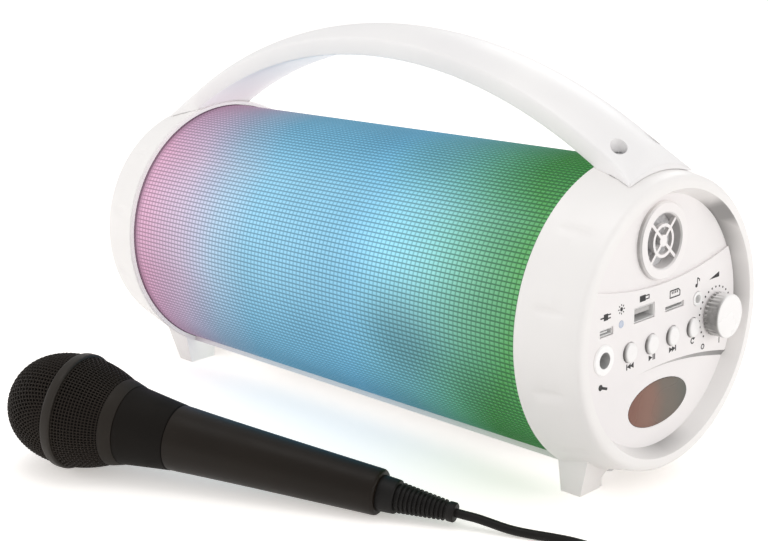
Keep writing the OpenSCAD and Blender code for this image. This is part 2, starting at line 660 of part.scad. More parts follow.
// ---- Push buttons ----
flange_x = panel_back - 0.3;
stem_end = board_x + 3;
module button(i) color([0.97, 0.96, 0.95]) right_end() translate([0, button_y(i), button_z]) {
    top = band_x + button_proud;
    about_x() rotate_extrude($fn = 48) polygon([[0, stem_end], [stem_r, stem_end], [stem_r, flange_x - 1.2],
        [button_r + 0.9, flange_x - 1.2], [button_r + 0.9, flange_x], [button_r, flange_x],
        [button_r, top - 0.6], [button_r - 0.25, top - 0.25], [button_r - 0.8, top],
        [button_r * 0.4, top + 0.15], [0, top + 0.2]]);
}
module button_previous() button(0);
module button_play() button(1);
module button_next() button(2);
module button_mode() button(3);
switch_w = 7;
switch_h = 4.5;
module tact_switches() color([0.2, 0.2, 0.22]) right_end() for (y = button_ys()) difference() {
    box_x(board_x, board_x + switch_h, y, button_z, switch_w, switch_w);
    rod_x(stem_end - button_travel - 0.6, board_x + switch_h + 0.5, stem_r + fit, y, button_z);
}

// ---- Control board and its sockets ----
module control_board() color(board_green) right_end() difference() {
    low = board_post[2][1] - board_edge;
    left = board_post[0][0] - board_edge;
    translate([board_x - board_t, left, low])
        cube([board_t, board_post[1][0] + board_edge - left, board_post[1][1] + board_edge - low]);
    translate([board_x - board_t - eps, left - eps, low - eps])
        cube([board_t + 2 * eps, jack_y + jack_body[0] / 2 + 1 - left + eps,
            jack_z + jack_body[1] / 2 + 1 - low + eps]);
    for (p = board_post) rod_x(board_x - board_t - 1, board_x + 1, m2_r + 0.1, p[0], p[1]);
}
board_screw_grip = 7;
module board_screws() color(steel) {
    right_end() for (p = board_post) {
        rod_x(board_x - board_t - head_t, board_x - board_t, m2_head_r, p[0], p[1]);
        rod_x(board_x - board_t - 0.1, board_x + board_screw_grip, m2_r, p[0], p[1]);
    }
}
module shell_box(x0, x1, y, z, w, h, wall, floor_t = 1) difference() {
    box_x(x0, x1, y, z, w, h);
    box_x(x0 + floor_t, x1 + 1, y, z, w - 2 * wall, h - 2 * wall);
}
module usb_socket() color(steel) right_end()
    shell_box(board_x, band_x - 0.3, usb_y, usb_z, usb_w, usb_h, 0.35);
module usb_tongue() color("white") right_end()
    box_x(board_x + 1, band_x - 1.5, usb_y, usb_z + 0.9, usb_w - 2.2, 1.8);
module card_socket() color(steel) right_end()
    shell_box(board_x, band_x - 0.6, card_y, card_z, card_w, card_h, 0.4);
module charge_socket() color(steel) right_end() {
    shell_box(board_x, band_x - 0.5, charge_y, charge_z, charge_w, charge_h, 0.35);
    box_x(board_x + 1, band_x - 1.5, charge_y, charge_z - 0.3, charge_w - 3, 0.6);
}
jack_front = band_x + 0.8;
module mic_jack() color("white") right_end() translate([0, jack_y, jack_z]) difference() {
    union() {
        about_x() rotate_extrude() polygon([[0, band_x], [jack_ring_r, band_x], [jack_ring_r, jack_front - 0.4],
            [jack_ring_r - 0.4, jack_front], [0, jack_front]]);
        rod_x(panel_back - 0.3, band_x + 0.1, jack_barrel_r);
        box_x(jack_front - jack_depth - 2, panel_back - 0.2, 0, 0, jack_body[0], jack_body[1]);
    }
    rod_x(jack_front - jack_depth, jack_front + 1, jack_bore_r);
}
aux_front = band_x + 0.4;
module line_jack() color("white") right_end() translate([0, aux_y, aux_z]) difference() {
    union() {
        rod_x(panel_back - 0.3, aux_front, aux_barrel_r);
        box_x(board_x, panel_back - 0.2, 0, 0, 6.4, 7);
    }
    rod_x(aux_front - aux_depth, aux_front + 1, aux_bore_r);
}

// ---- Chassis inside the tube, with the lights, the amplifier board and the cells ----
deck_z = -36;
deck_t = 2.5;
deck_half_y = 40;
bar_w = 16;
strip_t = 1.2;
strip_w = 10;
strip_len = 2 * bar_half - 16;
led_per_strip = 7;
board_legs = 4;
main_len = 96;
main_w = 52;
cell_r = 9.2;
cell_len = 66;
deck_room = 2 * bar_half - main_len - cell_len;
main_gap = deck_room * 3 / 8;        // from the right bulkhead to the amplifier board
cell_gap = deck_room * 2 / 7;        // from the left bulkhead to the cells
main_x = bar_half - main_gap - main_len / 2;
main_leg_r = 3;
main_leg_edge = 4;                   // from the board's edge to the middle of a leg
can_r = 4;
can_h = 9;
can_count = 5;
can_pitch = 17;
can_first = 36;
can_y = 12;
can_shift = 8;
chip_side = 12;
chip_t = 2;
chip_at = [-10, -20];
module chassis() color([0.9, 0.9, 0.9]) speaker() difference() {
    union() {
        for (e = [-1, 1]) translate([e * (bar_half + bulkhead_t / 2), 0, 0])
            rod_x(-bulkhead_t / 2, bulkhead_t / 2, bulkhead_r);
        box_x(-bar_half - 0.1, bar_half + 0.1, 0, deck_z, 2 * deck_half_y, deck_t);
        for (e = [-1, 1], s = [-1, 1])
            translate([main_x + e * (main_len / 2 - main_leg_edge), s * (main_w / 2 - main_leg_edge), deck_z])
                cylinder(h = deck_t / 2 + board_legs, r = main_leg_r);
    }
    for (e = [-1, 1], y = [-34, 34]) translate([e * (bar_half + bulkhead_t / 2), 0, 0])
        rod_x(-bulkhead_t, bulkhead_t, 8, y, 20);
}
module led_bar() color([0.8, 0.8, 0.8]) speaker() difference() {
    box_x(-bar_half + fit, bar_half - fit, 0, 0, bar_w, bar_w);
    box_x(-bar_half, bar_half, 0, 0, bar_w - 3, bar_w - 3);
}
module strip_faces() for (a = [-90, 0, 90]) rotate([a, 0, 0]) translate([0, 0, bar_w / 2]) children();
module led_strips() color("white") speaker() strip_faces()
    box_x(-strip_len / 2, strip_len / 2, 0, strip_t / 2 + 0.05, strip_w, strip_t);
module led_chips() color([0.95, 0.95, 0.8]) speaker() strip_faces()
    for (i = [0:led_per_strip - 1])
        let (x = strip_len * ((i + 0.5) / led_per_strip - 0.5))
            box_x(x - 2.5, x + 2.5, 0, strip_t + 0.8, 5, 1.5);
module main_board() color(board_green) speaker() {
    z0 = deck_z + deck_t / 2 + board_legs;
    translate([main_x - main_len / 2, -main_w / 2, z0]) cube([main_len, main_w, board_t]);
    for (i = [0:can_count - 1])
        translate([main_x - can_first + can_pitch * i, can_y - can_shift * (i % 2), z0 + board_t - 0.1])
            cylinder(h = can_h, r = can_r, $fn = 24);
    translate([main_x + chip_at[0], chip_at[1], z0 + board_t - 0.1]) cube([chip_side, chip_side, chip_t]);
}
cell_x = -bar_half + cell_gap + cell_len / 2;
module battery_pack() color([0.2, 0.45, 0.7]) speaker() for (s = [-1, 1])
    rod_x(cell_x - cell_len / 2, cell_x + cell_len / 2, cell_r, s * (cell_r + 0.1),
        deck_z + deck_t / 2 + cell_r + 0.1);

// ---- Woofer end ----
woofer_back = panel_back - seat_gap - woofer_depth;
magnet_r = 22;
magnet_t = 12.8;
pole_r = 10;
basket_floor = woofer_back + magnet_t + 0.2;
basket_t = 2;
basket_neck_r = 19;                  // opening in the basket's floor
basket_flange = 7.5;                 // width of the flange that seats on the panel
coil_r = 11;                         // neck of the cone
dust_cap_rise = 3;
cone_t = 1;
module left_panel() color(white) left_end() difference() {
    panel_disc();
    ear_holes();
    rod_x(panel_back - eps, panel_x + eps, woofer_open_r);
    rod_x(panel_back - eps, panel_back + 1.2, woofer_open_r + 3);
}
module woofer_grille() color([0.15, 0.15, 0.16]) left_end() difference() {
    rod_x(panel_back, panel_back + 1, woofer_open_r + 2.8);
    for (ring = [0:6], k = [0:max(0, 6 * ring - 1)])
        rotate([360 * k / max(1, 6 * ring), 0, 0]) rod_x(panel_back - 1, panel_back + 2, 1.7, 0, 5.6 * ring);
}
module woofer_basket() color([0.3, 0.3, 0.32]) left_end() about_x() rotate_extrude($fn = 96) polygon([
    [woofer_r, panel_back - seat_gap], [woofer_r, panel_back - seat_gap - basket_t],
    [woofer_r - basket_flange + 2.5, panel_back - seat_gap - basket_t],
    [woofer_r - 2 * basket_flange + 1, basket_floor], [basket_neck_r, basket_floor],
    [basket_neck_r, basket_floor + basket_t],
    [woofer_r - 2 * basket_flange - 1, basket_floor + basket_t],
    [woofer_r - basket_flange, panel_back - seat_gap - 0.8],
    [woofer_r - basket_flange, panel_back - seat_gap]]);
cone_r = woofer_r - basket_flange - 0.6;
neck_x = basket_floor + basket_t + 1;
module woofer_cone() color([0.12, 0.12, 0.13]) left_end() about_x() rotate_extrude($fn = 96) polygon([
    [cone_r, panel_back - 1.2], [cone_r - 3, panel_back - 3.2], [coil_r, neck_x + cone_t],
    [coil_r / 2, neck_x + dust_cap_rise], [0, neck_x + dust_cap_rise + 1], [0, neck_x + dust_cap_rise],
    [coil_r / 2, neck_x + dust_cap_rise - 1], [coil_r, neck_x], [cone_r - 3, panel_back - 3.2 - cone_t],
    [cone_r, panel_back - 1.2 - 0.8]]);
module woofer_magnet() color([0.25, 0.25, 0.27]) left_end() {
    rod_x(woofer_back, woofer_back + magnet_t, magnet_r);
    rod_x(woofer_back + magnet_t - 0.1, neck_x - 0.1, pole_r);
}

// ---- Microphone: a head of two mesh cups, a ring, a collar, a hollow grip ----
function front_r(s, r, l) = r * pow(max(0, 1 - pow(abs(s) / l, 2.3)), 1 / 2.3);
function cup_points(r, l) = [for (i = [0:10]) let (s = -l * sin(9 * i)) [max(0, front_r(s, r, l)), s]];
mesh_t = 1;
front_face = -ring_w / 2;
function rear_r(s) = let (t = (s - ring_w / 2) / (collar_s - ring_w / 2))
    mesh_r + (collar_r - mesh_r) * (0.35 * t + 0.65 * t * t);
module mic_front_mesh() color(mic_black) microphone() about_x() rotate_extrude() {
    outer = [for (p = cup_points(mesh_r, head_len)) if (p[1] < front_face) p];
    inner = [for (p = cup_points(mesh_r - mesh_t, head_len - mesh_t)) if (p[1] < front_face) p];
    polygon(concat([[mesh_r, front_face]], outer, [for (i = [len(inner) - 1:-1:0]) inner[i]],
        [[mesh_r - mesh_t, front_face]]));
}
module mic_ring() color(mic_black) microphone() about_x() rotate_extrude($fn = 96) polygon([
    [mesh_r - 2.4, -ring_w / 2], [ring_r - 0.5, -ring_w / 2], [ring_r, -ring_w / 2 + 0.5],
    [ring_r, ring_w / 2 - 0.5], [ring_r - 0.5, ring_w / 2], [mesh_r - 2.4, ring_w / 2]]);
module mic_rear_mesh() color(mic_black) microphone() about_x() rotate_extrude() {
    steps = [for (i = [0:6]) ring_w / 2 + (collar_s - ring_w / 2) * i / 6];
    polygon(concat([for (s = steps) [rear_r(s), s]],
        [for (i = [6:-1:0]) [rear_r(steps[i]) - mesh_t, steps[i]]]));
}
collar_len = 6;
module mic_collar() color([0.13, 0.13, 0.135]) microphone() about_x() rotate_extrude($fn = 96) polygon([
    [seam_r, collar_s], [collar_r + 0.3, collar_s], [collar_r + 0.3, collar_s + 1],
    [collar_r - 1.1, collar_s + collar_len], [seam_r, collar_s + collar_len]]);
function grip_r(s) = seam_r + (tail_r - seam_r) * pow(max(0, (s - seam_s) / (tail_s - seam_s)), 0.85);
capsule_r = 8;
module mic_grip() color(mic_black) microphone() about_x() rotate_extrude($fn = 96) {
    neck = collar_s + collar_len;
    steps = [for (i = [0:5]) seam_s + (tail_s - 1 - seam_s) * i / 5];
    polygon(concat([[capsule_r + 0.2, collar_s + 1], [seam_r - seat_gap, collar_s + 1],
        [seam_r - seat_gap, neck], [collar_r - 1.3, neck],
        [seam_r, seam_s - 0.6], [seam_r - 0.35, seam_s - 0.3]],
        [for (s = steps) [grip_r(s), s]], [[tail_r - 0.9, tail_s], [relief_bore, tail_s]],
        [for (i = [5:-1:0]) [max(relief_bore, grip_r(steps[i]) - grip_wall), steps[i]]],
        [[seam_r - grip_wall - 1, seam_s - 4], [capsule_r + 0.2, neck + 4]]));
}
capsule_front = 13;
capsule_back = 12;
module mic_foam() color([0.1, 0.1, 0.1]) microphone() difference() {
    about_x() rotate_extrude() polygon(concat([[0, -head_len + mesh_t + 1]],
        [for (p = [for (i = [9:-1:1]) cup_points(mesh_r - mesh_t - 0.3, head_len - mesh_t - 0.5)[i]])
            if (p[1] < front_face - 1) p],
        [[mesh_r - 2.9, front_face - 0.6], [mesh_r - 2.9, ring_w / 2 + 0.6],
            [rear_r(collar_s) - 3, collar_s - 1], [0, collar_s - 1]]));
    rod_x(collar_s - capsule_front - 1, collar_s, capsule_r + 0.2);
}
module mic_capsule() color(steel) microphone() {
    rod_x(collar_s - capsule_front, collar_s + capsule_back, capsule_r - 0.1);
    rod_x(collar_s - 0.6, collar_s + 0.8, capsule_r + 2.5);
}
relief_bore = tail_r - grip_wall;
rib_start = tail_s + 8.4;
rib_end = relief_end - 3.6;
rib_pitch = (rib_end - rib_start) / rib_count;
rib_h = 0.9;
relief_tip_r = cord_d / 2 + 2.2;
function core_r(s) = let (t = (s - rib_start) / (rib_end - rib_start))
    relief_r - rib_h + (relief_tip_r - 0.8 - relief_r + rib_h) * t;
module mic_strain_relief() color(mic_black) microphone() about_x() rotate_extrude($fn = 48)
    polygon(concat([[0, tail_s - 6], [relief_bore - 0.1, tail_s - 6], [relief_bore - 0.1, tail_s + 0.1],
        [relief_r + 0.9, tail_s + 0.1], [relief_r + 0.7, rib_start - 1.2], [relief_r - rib_h, rib_start - 0.8]],
        [for (i = [0:rib_count - 1], q = [[0.02, 0], [0.15, rib_h], [0.55, rib_h], [0.7, 0]])
            let (s = rib_start + (i + q[0]) * rib_pitch) [core_r(s) + q[1], s]],
        [[core_r(rib_end), rib_end + 0.1], [relief_tip_r, rib_end + 0.4], [relief_tip_r, relief_end - 0.3],
            [relief_tip_r - 0.3, relief_end], [0, relief_end]]));

// ---- Cord: from the strain relief over the floor to its coil, and from the coil to the plug ----
function mic_point(s) = [mic_x + s * cos(mic_tilt) * cos(mic_heading),
    mic_y + s * cos(mic_tilt) * sin(mic_heading), mic_rise - s * sin(mic_tilt)];
cord_r = cord_d / 2;
floor_cord_z = cord_r;
coil_centre = [206, -62];
coil_pitch = cord_d + coil_gap;
coil_base_z = tie_t + 0.3 + cord_r;
coil_turns = coil_loops * coil_layers;
coil_in_r = coil_mid_r - coil_loops * coil_pitch / 2;
coil_out_r = coil_mid_r + coil_loops * coil_pitch / 2;
coil_rings = 24;
function wound(t) = let (m = t - 2 * coil_loops * floor(t / (2 * coil_loops)))
    coil_in_r + coil_pitch * abs(m - coil_loops);
function climbed(t) = total([for (k = [1:coil_layers - 1]) max(0, min(1, (t - k * coil_loops) * 2 + 0.5))]);
function coil_point(t) = [coil_centre[0] + wound(t) * sin(360 * t), coil_centre[1] + wound(t) * cos(360 * t),
    coil_base_z + coil_pitch * climbed(t)];
coil_start = coil_point(0);
coil_finish = coil_point(coil_turns);
coil_path = concat([coil_start - [cord_d, 0, 0]],
    [for (i = [0:coil_turns * coil_rings]) coil_point(i / coil_rings)],
    [coil_finish + [cord_d, 0, 0]]);
coil_self_gap = min([for (i = [0:4:len(coil_path) - 1], j = [i + 12:len(coil_path) - 1])
    norm(coil_path[i] - coil_path[j])]) - cord_d;
echo(coil_self_gap = coil_self_gap);

// The free stretch from the microphone: two points straight out of the relief, then over the floor
mic_cord_path = concat([mic_point(relief_end), mic_point(relief_end + 4), mic_point(relief_end + 10)],
    [[136, -24.5, 2.6], [144, -21, 1.9], [152, -18, 1.9], [160, -15.5, 1.9], [168, -14.5, 1.9],
     [176, -16, 1.9], [183, -20, 1.9], [189, -25.5, 2.1], [195, -30.5, 2.4]],
    [coil_start - [cord_d + 4, 0, 0], coil_start - [cord_d, 0, 0]]);
// From the top of the coil down to the floor and round to the plug, which lies beside the coil
plug_at = [247, -66, plug_shell_r];
plug_lead_path = concat([coil_finish + [cord_d, 0, 0], coil_finish + [cord_d + 4, 0, 0]],
    [[222, -35, 13], [230, -37.5, 9.5], [237, -41, 6], [243, -46, 3.6], [246.4, -52.5, 3.6]],
    [plug_at + [0, 6, 0], plug_at]);
module mic_cord() color(mic_black) tube_along(mic_cord_path, cord_d, 8);
module cord_coil() color(mic_black) tube_along(coil_path, cord_d, 6);
module plug_lead() color(mic_black) tube_along(plug_lead_path, cord_d, 8);
module cord_tie() color([0.2, 0.2, 0.2]) translate([coil_centre[0] - tie_w / 2, coil_centre[1], 0]) {
    reach = coil_out_r - coil_in_r + cord_d + 2 * (0.3 + tie_t);
    rise = coil_pitch * (coil_layers - 1) + cord_d + 2 * (0.3 + tie_t);
    translate([0, -coil_out_r - cord_r - 0.3 - tie_t, 0]) difference() {
        cube([tie_w, reach, rise]);
        translate([-1, tie_t, tie_t]) cube([tie_w + 2, reach - 2 * tie_t, rise - 2 * tie_t]);
    }
}

// ---- Plug: a shell with a tapered relief, a sleeve, an insulator and a tip, lying on the floor ----
module at_plug() translate(plug_at) rotate([90, 0, 0]) children();
boot_len = 14;
sleeve_start = boot_len + plug_shell_len;
insulator_len = 1.2;
tip_len = 8.5;
pin_core_r = 1.4;
module plug_shell() color(mic_black) at_plug() rotate_extrude($fn = 48) polygon([
    [0, 0], [cord_r + 1, 0], [cord_r + 1.6, boot_len - 2], [plug_shell_r - 0.8, boot_len],
    [plug_shell_r, boot_len + 1.5], [plug_shell_r, sleeve_start - 0.8], [plug_shell_r - 0.8, sleeve_start],
    [0, sleeve_start]]);
module plug_pin() color([0.8, 0.8, 0.82]) at_plug() {
    translate([0, 0, sleeve_start]) cylinder(h = sleeve_len, r = plug_r);
    translate([0, 0, sleeve_start + sleeve_len - 0.1]) cylinder(h = insulator_len + 0.2, r = pin_core_r);
    translate([0, 0, sleeve_start + sleeve_len + insulator_len]) rotate_extrude() polygon([
        [0, 0], [plug_r, 0], [plug_r, 2.2], [plug_r - 0.7, 3], [plug_r - 0.7, 4.2], [plug_r - 0.1, 5.4],
        [plug_r - 0.5, 6.6], [1.2, tip_len - 0.4], [0, tip_len]]);
}
module plug_insulator() color([0.1, 0.1, 0.1]) at_plug() difference() {
    translate([0, 0, sleeve_start + sleeve_len]) cylinder(h = insulator_len, r = plug_r);
    translate([0, 0, sleeve_start + sleeve_len - 1]) cylinder(h = insulator_len + 2, r = pin_core_r + 0.02);
}

left_cap();
right_cap();
lower_shell();
mesh_grille();
diffuser_tube();
shell_screws();
handle();
handle_screws();
control_panel();
panel_screws();
tweeter_grille();
tweeter_driver();
window_lens();
window_lamp();
pilot_light();
volume_knob();
pot_shaft();
potentiometer();
pot_nut();
button_previous();
button_play();
button_next();
button_mode();
tact_switches();
control_board();
board_screws();
usb_socket();
usb_tongue();
card_socket();
charge_socket();
mic_jack();
line_jack();
chassis();
led_bar();
led_strips();
led_chips();
main_board();
battery_pack();
left_panel();
woofer_grille();
woofer_basket();
woofer_cone();
woofer_magnet();
mic_front_mesh();
mic_ring();
mic_rear_mesh();
mic_collar();
mic_grip();
mic_foam();
mic_capsule();
mic_strain_relief();
mic_cord();
cord_coil();
cord_tie();
plug_lead();
plug_shell();
plug_pin();
plug_insulator();
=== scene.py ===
"""Looks of a portable tube loudspeaker with its corded microphone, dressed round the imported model."""
import math
from functools import partialmethod

import bmesh
import bpy
from mathutils import Matrix, Vector


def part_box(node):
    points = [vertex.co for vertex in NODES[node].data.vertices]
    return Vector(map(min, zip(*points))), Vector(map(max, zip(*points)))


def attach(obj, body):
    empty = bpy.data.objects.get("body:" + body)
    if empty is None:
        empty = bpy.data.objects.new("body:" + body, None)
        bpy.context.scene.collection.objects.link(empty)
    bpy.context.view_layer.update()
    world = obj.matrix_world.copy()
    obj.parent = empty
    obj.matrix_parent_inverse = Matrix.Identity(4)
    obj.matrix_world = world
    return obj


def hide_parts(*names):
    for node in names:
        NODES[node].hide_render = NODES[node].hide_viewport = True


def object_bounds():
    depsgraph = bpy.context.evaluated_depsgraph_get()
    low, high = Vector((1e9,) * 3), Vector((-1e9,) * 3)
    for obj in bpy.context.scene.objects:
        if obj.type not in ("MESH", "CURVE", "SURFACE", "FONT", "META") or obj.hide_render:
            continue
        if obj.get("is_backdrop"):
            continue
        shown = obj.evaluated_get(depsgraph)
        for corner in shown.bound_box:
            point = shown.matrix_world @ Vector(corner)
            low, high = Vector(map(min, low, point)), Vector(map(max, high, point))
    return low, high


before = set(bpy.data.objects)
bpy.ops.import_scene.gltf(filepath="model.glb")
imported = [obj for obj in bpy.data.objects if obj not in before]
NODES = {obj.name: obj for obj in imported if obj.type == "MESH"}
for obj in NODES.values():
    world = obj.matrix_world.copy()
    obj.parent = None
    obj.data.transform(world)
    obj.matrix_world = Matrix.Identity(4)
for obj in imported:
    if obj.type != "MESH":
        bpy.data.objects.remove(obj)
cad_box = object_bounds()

MM = 0.001
SHARP_ANGLE = 32
FULL_TURN = 2 * math.pi


# ---- places from the frame
cap_lo, cap_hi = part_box("right_cap")
left_cap_lo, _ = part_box("left_cap")
panel_lo, panel_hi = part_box("left_panel")
FACE = Vector((cap_hi.x, (panel_lo.y + panel_hi.y) / 2, (panel_lo.z + panel_hi.z) / 2))
HALF_LEN = (cap_hi.x - left_cap_lo.x) / MM / 2
MIDDLE = Vector((FACE.x - HALF_LEN * MM, FACE.y, FACE.z))
CAP_LEN = (cap_hi.x - cap_lo.x) / MM


def at_face(x, y, z):
    """A point given in millimetres from the middle of the right cap's face."""
    return FACE + Vector((x, y, z)) * MM


def at_middle(x, y, z):
    """The same from the middle of the tube."""
    return MIDDLE + Vector((x, y, z)) * MM


def put(thing, **values):
    """Sets several values of a thing and returns it."""
    for key, value in values.items():
        setattr(thing, key, value)
    return thing


def link(name, data):
    """A new object in the scene."""
    thing = bpy.data.objects.new(name, data)
    bpy.context.scene.collection.objects.link(thing)
    return thing


# ---- camera
CAM_PLACE = (0.4731, -0.40895, 0.2439)
CAM_AZIMUTH, CAM_ELEVATION, CAM_ROLL = 46.24, 15.09, -1.77
CAM_LENS, CAM_SENSOR = 67.97, 36


def make_camera():
    a, e, r = (math.radians(x) for x in (CAM_AZIMUTH, CAM_ELEVATION, CAM_ROLL))
    back = Vector((math.sin(a) * math.cos(e), -math.cos(a) * math.cos(e), math.sin(e)))
    right = Vector((math.cos(a), math.sin(a), 0))
    up = back.cross(right)
    turn = Matrix((right * math.cos(r) + up * math.sin(r), up * math.cos(r) - right * math.sin(r), back))
    camera = link("camera", bpy.data.cameras.new("camera"))
    camera.matrix_world = Matrix.Translation(CAM_PLACE) @ turn.transposed().to_4x4()
    put(camera.data, sensor_width=CAM_SENSOR, sensor_fit="HORIZONTAL", lens=CAM_LENS, clip_start=0.01)
    bpy.context.scene.camera = camera


make_camera()


# ---- node trees
def srgb(r, g, b):
    """A colour written as it shows, from 0 to 255, as the shader takes it."""
    def linear(v):
        v = v / 255
        return v / 12.92 if v <= 0.04045 else ((v + 0.055) / 1.055) ** 2.4
    return (linear(r), linear(g), linear(b), 1)


def darker(colour, by):
    return tuple(by * c for c in colour[:3]) + (1,)


class Wire:
    """A node's output; reckoning with it adds nodes to its tree."""

    def __init__(self, nodes, socket):
        self.nodes, self.socket = nodes, socket

    def math(self, what, *others):
        return self.nodes.math(what, self, *others)

    __add__ = partialmethod(math, "ADD")
    __sub__ = partialmethod(math, "SUBTRACT")
    __mul__ = partialmethod(math, "MULTIPLY")
    __truediv__ = partialmethod(math, "DIVIDE")
    __neg__ = partialmethod(math, "MULTIPLY", -1.0)
    __abs__ = partialmethod(math, "ABSOLUTE")

    def span(self, low, high, to_low, to_high, **settings):
        """The value carried over from one range to another."""
        return self.nodes.get("ShaderNodeMapRange", "Result", {
            "Value": self, "From Min": low, "From Max": high, "To Min": to_low, "To Max": to_high}, **settings)


class Nodes:
    """Short calls for building one node tree, of a new material unless another owner is given."""

    def __init__(self, owner, out="ShaderNodeOutputMaterial"):
        self.owner = bpy.data.materials.new(owner) if isinstance(owner, str) else owner
        self.owner.use_nodes = True
        self.tree = self.owner.node_tree
        self.tree.nodes.clear()
        self.out = self.tree.nodes.new(out)

    def feed(self, socket, value):
        """Joins a wire to a socket, or sets the socket's own value."""
        if isinstance(value, Wire):
            self.tree.links.new(value.socket, socket)
        else:
            socket.default_value = value

    def add(self, kind, inputs=None, **settings):
        node = put(self.tree.nodes.new(kind), **settings)
        for key, value in (inputs or {}).items():
            self.feed(node.inputs[key], value)
        return node

    def get(self, kind, output, inputs=None, **settings):
        return Wire(self, self.add(kind, inputs, **settings).outputs[output])

    def math(self, what, *values):
        return self.get("ShaderNodeMath", 0, dict(enumerate(values)), operation=what)

    def mix(self, factor, a, b, blend="MIX"):
        return self.get("ShaderNodeMix", 2, {0: factor, 6: a, 7: b}, data_type="RGBA", blend_type=blend)

    def place(self):
        return self.get("ShaderNodeTexCoord", "Object")

    def noise(self, scale, detail, rough=0.55):
        return self.get("ShaderNodeTexNoise", "Fac", {
            "Vector": self.place(), "Scale": scale, "Detail": detail, "Roughness": rough})

    def uneven(self, scale, detail, low, high):
        """Clouds between two values."""
        return self.noise(scale, detail).span(0.3, 0.7, low, high)

    def split(self, vector):
        return [Wire(self, out) for out in self.add("ShaderNodeSeparateXYZ", {0: vector}).outputs]

    def joined(self, x, y, z):
        return self.get("ShaderNodeCombineXYZ", 0, {0: x, 1: y, 2: z})

    def off_axis(self, y, z):
        """Distance from a line along x, from the two distances across it."""
        return self.get("ShaderNodeVectorMath", "Value", {0: self.joined(0, y, z)}, operation="LENGTH")

    def facing(self, axis):
        """How far a face looks along x, y or z, from -1 to 1."""
        return self.split(self.get("ShaderNodeNewGeometry", "Normal"))["xyz".index(axis)]

    def from_axis(self):
        """Where a point lies on the tube: x along it, its distance before the axis, its height over it."""
        x, y, z = self.split(self.place())
        return x, self.math("SUBTRACT", FACE.y, y), z - FACE.z

    def ramp(self, source, stops, smooth=False):
        """Stops of (place, colour), the colour from 0 to 255 as it shows, or linear and with an alpha."""
        node = self.add("ShaderNodeValToRGB", {"Fac": source})
        node.color_ramp.interpolation = "EASE" if smooth else "LINEAR"
        elements = node.color_ramp.elements
        while len(elements) < len(stops):
            elements.new(0.5)
        for element, (at, colour) in zip(elements, stops):
            element.position = at
            element.color = srgb(*colour) if len(colour) == 3 else colour
        return Wire(self, node.outputs["Color"])

    def greys(self, source, stops):
        return self.ramp(source, [(at, (v, v, v, 1)) for at, v in stops])

    def bump(self, height, strength, distance):
        return self.get("ShaderNodeBump", "Normal", {
            "Strength": strength, "Distance": distance, "Height": height})

    def surface(self, colour, rough, normal=None, **others):
        """Ends the tree in a shader and returns the material."""
        inputs = {"Base Color": colour, "Roughness": rough}
        if normal:
            inputs["Normal"] = normal
        inputs.update((key.replace("_", " "), value) for key, value in others.items())
        self.finish(self.get("ShaderNodeBsdfPrincipled", 0, inputs))
        return self.owner

    def finish(self, shader):
        self.feed(self.out.inputs["Surface"], shader)


# ---- kinds of material
FINE_GRAIN = 0.00004
GRAIN_SCALE = 2600
SHOW_END = 0.125


def moulded(name, tone, shade, rough, shine=0.5, grain=FINE_GRAIN, grain_scale=GRAIN_SCALE, painted_underglow=0, underglow_tints=None):
    """Moulded plastic: slight unevenness of tone and gloss and a fine eroded grain. A face that looks down may
    take a painted glow, an emission that stands in for the light show's light on it, tinted from the tube's middle
    to its ends."""
    n = Nodes(name)
    painted_glow = {}
    # painted glow: emission on faces that look down stands in for the light show's light reaching them
    if painted_underglow:
        far = abs(n.from_axis()[0] - MIDDLE.x)
        down = (-n.facing("z")).span(0.2, 0.8, 0, painted_underglow) * far.span(SHOW_END, SHOW_END + 0.003, 1, 0)
        painted_glow = {"Emission_Strength": down * far.span(0.07, SHOW_END, 0.45, 1),
                "Emission_Color": n.ramp(far.span(0.07, 0.13, 0, 1), list(enumerate(underglow_tints)))}
    height = n.noise(grain_scale, 2, 0.6) + n.noise(42, 2) * 1.6
    return n.surface(n.mix(n.uneven(18, 3, 0, 1), srgb(*tone), srgb(*shade)),
                     n.uneven(55, 4, rough - 0.05, rough + 0.06), n.bump(height, 0.5, grain),
                     Specular_IOR_Level=shine, **painted_glow)


def painted_shade_plastic(name, tone, wall_shade, rough, cap=False):
    """Moulded plastic with painted shade on its walls: the low side walls towards the tube's front, or the recess
    of a cap, are painted darker. A cap's faces that look at the tube's middle take a painted glow that stands in
    for a little of its light."""
    n = Nodes(name)
    tone, painted_glow = srgb(*tone), {}
    if cap:
        side = recess_painted_shade(n)
        # painted glow: emission on faces turned to the tube's middle stands in for its light
        inwards = n.facing("x") * n.math("SUBTRACT", MIDDLE.x, n.from_axis()[0]).math("SIGN")
        painted_glow = {"Emission_Strength": inwards.span(0.85, 0.97, 0, 0.2), "Emission_Color": (0.85, 1, 0.95, 1)}
    else:
        # painted shade: walls that face the tube's front are painted grey
        side = (-n.facing("y")).span(0.12, 0.85, 0, 1) * n.uneven(260, 2, 0.85, 1.0)
    tone = n.mix(n.uneven(18, 3, 0, 1), tone, darker(tone, 0.955))
    return n.surface(n.mix(side, tone, srgb(*wall_shade)), n.uneven(55, 4, rough - 0.05, rough + 0.06),
                     n.bump(n.noise(GRAIN_SCALE, 2, 0.6), 0.4, FINE_GRAIN), **painted_glow)


RECESS_R = 0.0552
RECESS_DEPTH = 7.4
WIDE_TURN = 48.0
# how much painted shade the recess wall takes, by its turn round the cap, from 0 to 1
RECESS_SHADE = [(0.10, 0.0), (0.155, 0.35), (0.20, 0.75), (0.23, 0.62), (0.265, 0.15), (0.30, 0.08),
                (0.43, 0.10), (0.47, 0.3), (0.50, 0.75), (0.535, 0.62), (0.565, 0.55), (0.60, 0.85),
                (0.645, 1.0), (0.672, 1.0), (0.707, 0.2), (0.75, 0.0)]


